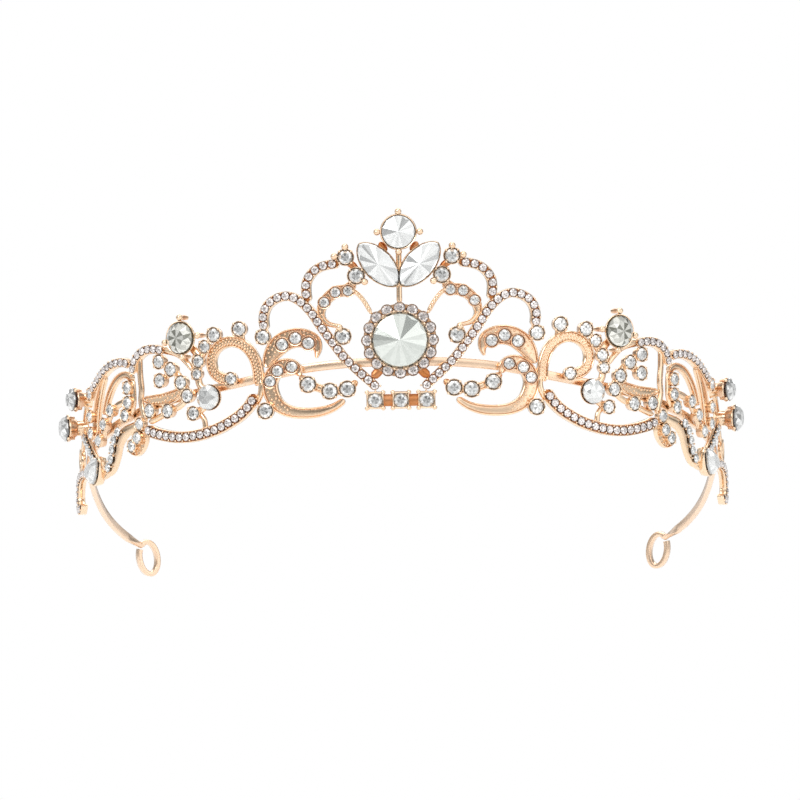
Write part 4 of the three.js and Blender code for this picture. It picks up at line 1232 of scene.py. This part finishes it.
def make_top_setting():
    collar = outline_collar(LEAF_STONE_AT, navette_outline, LEAF_STONE["length"], LEAF_STONE["turn"])
    parts = [collar, collar.mirrored()]
    stem = [[0, MEDALLION_AT[1] + MEDALLION_R - 0.2], [0, 24.0], [0, TOP_AT[1]]]
    parts.append(strip(stem, wire, 1.2, 1))
    parts.append(copies_at(BIG_CUP_SHAPE, CAST_GOLD, [(*TOP_AT, 0, 0, TOP_STONE / 2)]))
    balls = [(*TOP_AT, 90, 4.3), (*TOP_AT, 0, 4.5), (*TOP_AT, 180, 4.5), (*TOP_AT, 270, 4.25)]
    parts.append(copies_at(PRONG_SHAPE, CAST_GOLD, ball_places(balls)))
    for side in (-1, 1):
        post = [[side * 2.6, 31.6], [side * 3.4, 32.7], [side * 4.0, 33.6]]
        # The posts are painted with recess shade all over.
        parts.append(strip(post, wire, 1.5).shaded_all_over(LINK_SHADE))
    finish_piece("top_setting", parts, CAST_GOLD, ["top_setting"])


def square_cup(at, half=1.85):
    """A square setting of the base bar."""
    levels = [(half - 0.2, -0.1), (half, 0.1), (half, CAST_DEPTH + 0.5), (half - 0.15, CAST_DEPTH + 0.62),
              (half - 0.4, CAST_DEPTH + 0.55), (half - 0.5, CAST_DEPTH + 0.15)]
    corners = np.array([[-1, -1], [1, -1], [1, 1], [-1, 1]])
    rings = [np.column_stack([corners * size + at, np.full(4, lift)]) for size, lift in levels]
    return loft(np.stack(rings))


def make_base_bar():
    places = [(-5.4, 0), (0, 0), (5.4, 0)]
    # The bar is painted with recess shade all over.
    parts = [strip([[-6, 0], [6, 0]], wire, 2.6).shaded_all_over(LINK_SHADE)]
    parts += [square_cup(at) for at in places]
    corners = [(arc + 1.7 * a, height + 1.7 * b, CAST_DEPTH + 0.65, 0, 1.0)
               for arc, height in places for a in (-1, 1) for b in (-1, 1)]
    parts.append(copies_at(BEAD_SHAPE, CAST_GOLD, corners))
    finish_piece("base_bar", parts, CAST_GOLD, ["base_bar"])
    stones = [(arc, height, CAST_DEPTH + 0.62, 0.4, 1.55) for arc, height in places]
    finish_piece("base_stones", [copies_at(ROUND_CUT, CLEAR, stones, 5)], CLEAR,
                 smooth=False)


# ---------- the band ----------
def band_height(arc):
    """The band's height on the pattern: by its points in front, then falling as it runs back."""
    last_arc, last_height = BAND_HEIGHTS[-1]
    line = smooth_route([[a, h] for a, h in BAND_HEIGHTS], 0.0)
    fall = np.interp(arc, PLAN_ARC, PLAN_Y) - np.interp(last_arc, PLAN_ARC, PLAN_Y)
    front = np.interp(arc, line[:, 0], line[:, 1])
    return np.where(arc >= last_arc, last_height - BAND_TILT * fall, front)


def turn_about(axis, angle, vector):
    return np.array(Matrix.Rotation(angle, 3, axis.tolist()) @ Matrix.Identity(3)) @ vector


def make_band():
    """Flat wire swept from the centre to the end of its loop, then mirrored."""
    lift = -CUP_PROUD - FIT_GAP - BAND_THICK / 2
    arcs = np.arange(0, LOOP_ARC - LOOP_LEAD, BAND_STATION)
    at = bend(np.column_stack([arcs, band_height(arcs), np.full(len(arcs), lift)]))
    wide = np.tile([0.0, 0, 1], (len(arcs), 1))
    yaw = math.radians(LOOP_YAW)
    axis = np.array([math.sin(yaw), math.cos(yaw), 0])
    across = np.array([math.cos(yaw), -math.sin(yaw), 0])
    up = turn_about(axis, math.radians(LOOP_LEAN), np.array([0.0, 0, 1]))
    side = turn_about(axis, math.radians(LOOP_LEAN), across)
    end = np.array([float(LOOP_ARC)])
    reach = bend(np.column_stack([end, band_height(end), [lift]]))[0]
    first = QUARTER * LOOP_START
    centre = reach - side * math.cos(first) * LOOP_WIDE / 2 - up * math.sin(first) * LOOP_HIGH / 2
    angle = first + 4 * QUARTER * LOOP_CLOSED * np.linspace(0, 1, LOOP_STATIONS)
    loop = (centre + np.cos(angle)[:, None] * side * LOOP_WIDE / 2
            + np.sin(angle)[:, None] * up * LOOP_HIGH / 2)
    at = np.vstack([at, loop])
    wide = np.vstack([wide, np.tile(axis, (len(loop), 1))])
    way = np.gradient(at, axis=0)
    way[0] = [1, 0, 0]
    way /= np.linalg.norm(way, axis=1)[:, None]
    thick = np.cross(way, wide)
    thick /= np.linalg.norm(thick, axis=1)[:, None]
    in_loop = np.arange(len(at)) >= len(arcs)
    broad = np.where(in_loop[:, None], wide, np.cross(thick, way))
    w, t = BAND_WIDTH / 2, BAND_THICK / 2
    soft, bevel = BAND_EDGE, BAND_CORNER
    ring = [(-w + soft, -t), (w - soft, -t), (w - bevel, -t + bevel), (w, -t + soft), (w, t - soft),
            (w - bevel, t - bevel), (w - soft, t), (-w + soft, t), (-w + bevel, t - bevel),
            (-w, t - soft), (-w, -t + soft), (-w + bevel, -t + bevel)]
    sections = np.stack([at + broad * a + thick * b for a, b in ring], axis=1)
    mirror = sections[:0:-1] * [-1, 1, 1]
    shell = loft(np.concatenate([mirror, sections])).mapped(lambda points: points * MM)
    made = mesh_object("band", shell)
    made.data.polygons.foreach_set("use_smooth", [True] * len(made.data.polygons))
    made.data.set_sharp_from_angle(angle=SMOOTH_ANGLE)
    made.data.materials.append(BAND_GOLD)
    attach(made, "root")
    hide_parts("band_wire")


# ---------- stage, light and camera ----------
def make_stage():
    floor_material = bpy.data.materials.new("pale floor")
    floor_material.use_nodes = True
    shader = floor_material.node_tree.nodes["Principled BSDF"]
    shader.inputs["Base Color"].default_value = (0.95, 0.95, 0.95, 1)
    shader.inputs["Roughness"].default_value = 0.9
    tree = floor_material.node_tree
    glow = node(tree, "ShaderNodeEmission", {"Color": (1, 1, 1, 1), "Strength": 1.0})
    rays = tree.nodes.new("ShaderNodeLightPath")
    mixed = node(tree, "ShaderNodeMixShader", {0: rays.outputs["Is Camera Ray"],
                                               1: shader.outputs[0], 2: glow.outputs[0]})
    tree.links.new(mixed.outputs[0], tree.nodes["Material Output"].inputs["Surface"])
    mesh = bpy.data.meshes.new("floor")
    reach, low = FLOOR_REACH, FLOOR_HEIGHT
    mesh.from_pydata([(-reach, -reach, low), (reach, -reach, low), (reach, reach, low),
                      (-reach, reach, low)], [], [(0, 1, 2, 3)])
    floor = bpy.data.objects.new("floor", mesh)
    bpy.context.scene.collection.objects.link(floor)
    mesh.materials.append(floor_material)


def add_softbox(name, place, target, size, power):
    """A rectangular light at a place, turned to face its target."""
    lamp = bpy.data.lights.new(name, "AREA")
    lamp.shape = "RECTANGLE"
    lamp.size, lamp.size_y = size
    lamp.energy = power
    box = bpy.data.objects.new(name, lamp)
    from_target = np.array(place) - np.array(target)
    z = from_target / np.linalg.norm(from_target)
    x = np.cross([0, 0, 1], z)
    x = x / np.linalg.norm(x)
    y = np.cross(z, x)
    matrix = np.eye(4)
    matrix[:3, 0], matrix[:3, 1], matrix[:3, 2], matrix[:3, 3] = x, y, z, place
    box.matrix_world = Matrix(matrix.tolist())
    bpy.context.scene.collection.objects.link(box)


def make_light():
    world = bpy.data.worlds.new("studio")
    bpy.context.scene.world = world
    world.use_nodes = True
    tree = world.node_tree
    background = tree.nodes["Background"]
    rays = tree.nodes.new("ShaderNodeLightPath")
    place = tree.nodes.new("ShaderNodeTexCoord")
    parts = node(tree, "ShaderNodeSeparateXYZ", {"Vector": place.outputs["Generated"]})
    height = node(tree, "ShaderNodeMapRange", {
        "Value": parts.outputs["Z"], "From Min": -0.4, "From Max": 0.9, "To Min": 0.3,
        "To Max": 0.95})
    patches = node(tree, "ShaderNodeTexNoise", {"Vector": place.outputs["Generated"], "Scale": 2.6,
                                                "Detail": 1.0})
    shade = node(tree, "ShaderNodeMapRange", {
        "Value": patches.outputs["Fac"], "From Min": 0.4, "From Max": 0.6, "To Min": 0.4,
        "To Max": 1.5})
    glow = math_node(tree, "MULTIPLY", height.outputs[0], shade.outputs[0])
    strength = node(tree, "ShaderNodeMix", {0: rays.outputs["Is Camera Ray"], 2: glow, 3: 1.0})
    background.inputs["Color"].default_value = (1, 1, 1, 1)
    tree.links.new(strength.outputs[0], background.inputs["Strength"])
    add_softbox("key", (-0.55, -0.95, 0.6), LIGHT_TARGET, (0.7, 0.5), 4.2)
    add_softbox("fill", (0.85, -0.75, 0.3), LIGHT_TARGET, (0.8, 0.8), 1.8)
    add_softbox("front", (0.1, -1.3, 0.45), LIGHT_TARGET, (1.0, 0.5), 0.8)
    add_softbox("overhead", (0.0, -0.1, 1.0), LIGHT_TARGET, (1.2, 0.5), 3.2)
    add_softbox("back", (0.0, 0.9, 0.5), LIGHT_TARGET, (1.2, 0.5), 3.0)


def make_camera():
    camera = bpy.data.cameras.new("camera")
    camera.sensor_width = 36
    camera.lens = CAMERA_LENS
    camera.clip_start = 0.05
    camera.clip_end = 30
    made = bpy.data.objects.new("camera", camera)
    aim = Matrix.Rotation(QUARTER, 4, "X") @ Matrix.Rotation(CAMERA_ROLL, 4, "Z")
    made.matrix_world = Matrix.Translation(CAMERA_AT) @ aim
    bpy.context.scene.collection.objects.link(made)
    bpy.context.scene.camera = made
    bpy.context.scene.view_settings.view_transform = "Standard"


make_band()
make_base_bar()
make_medallion()
make_top_setting()
make_side_castings()
make_large_stones()
for shape in SHAPES:
    bpy.data.objects.remove(shape)
make_stage()
make_light()
make_camera()
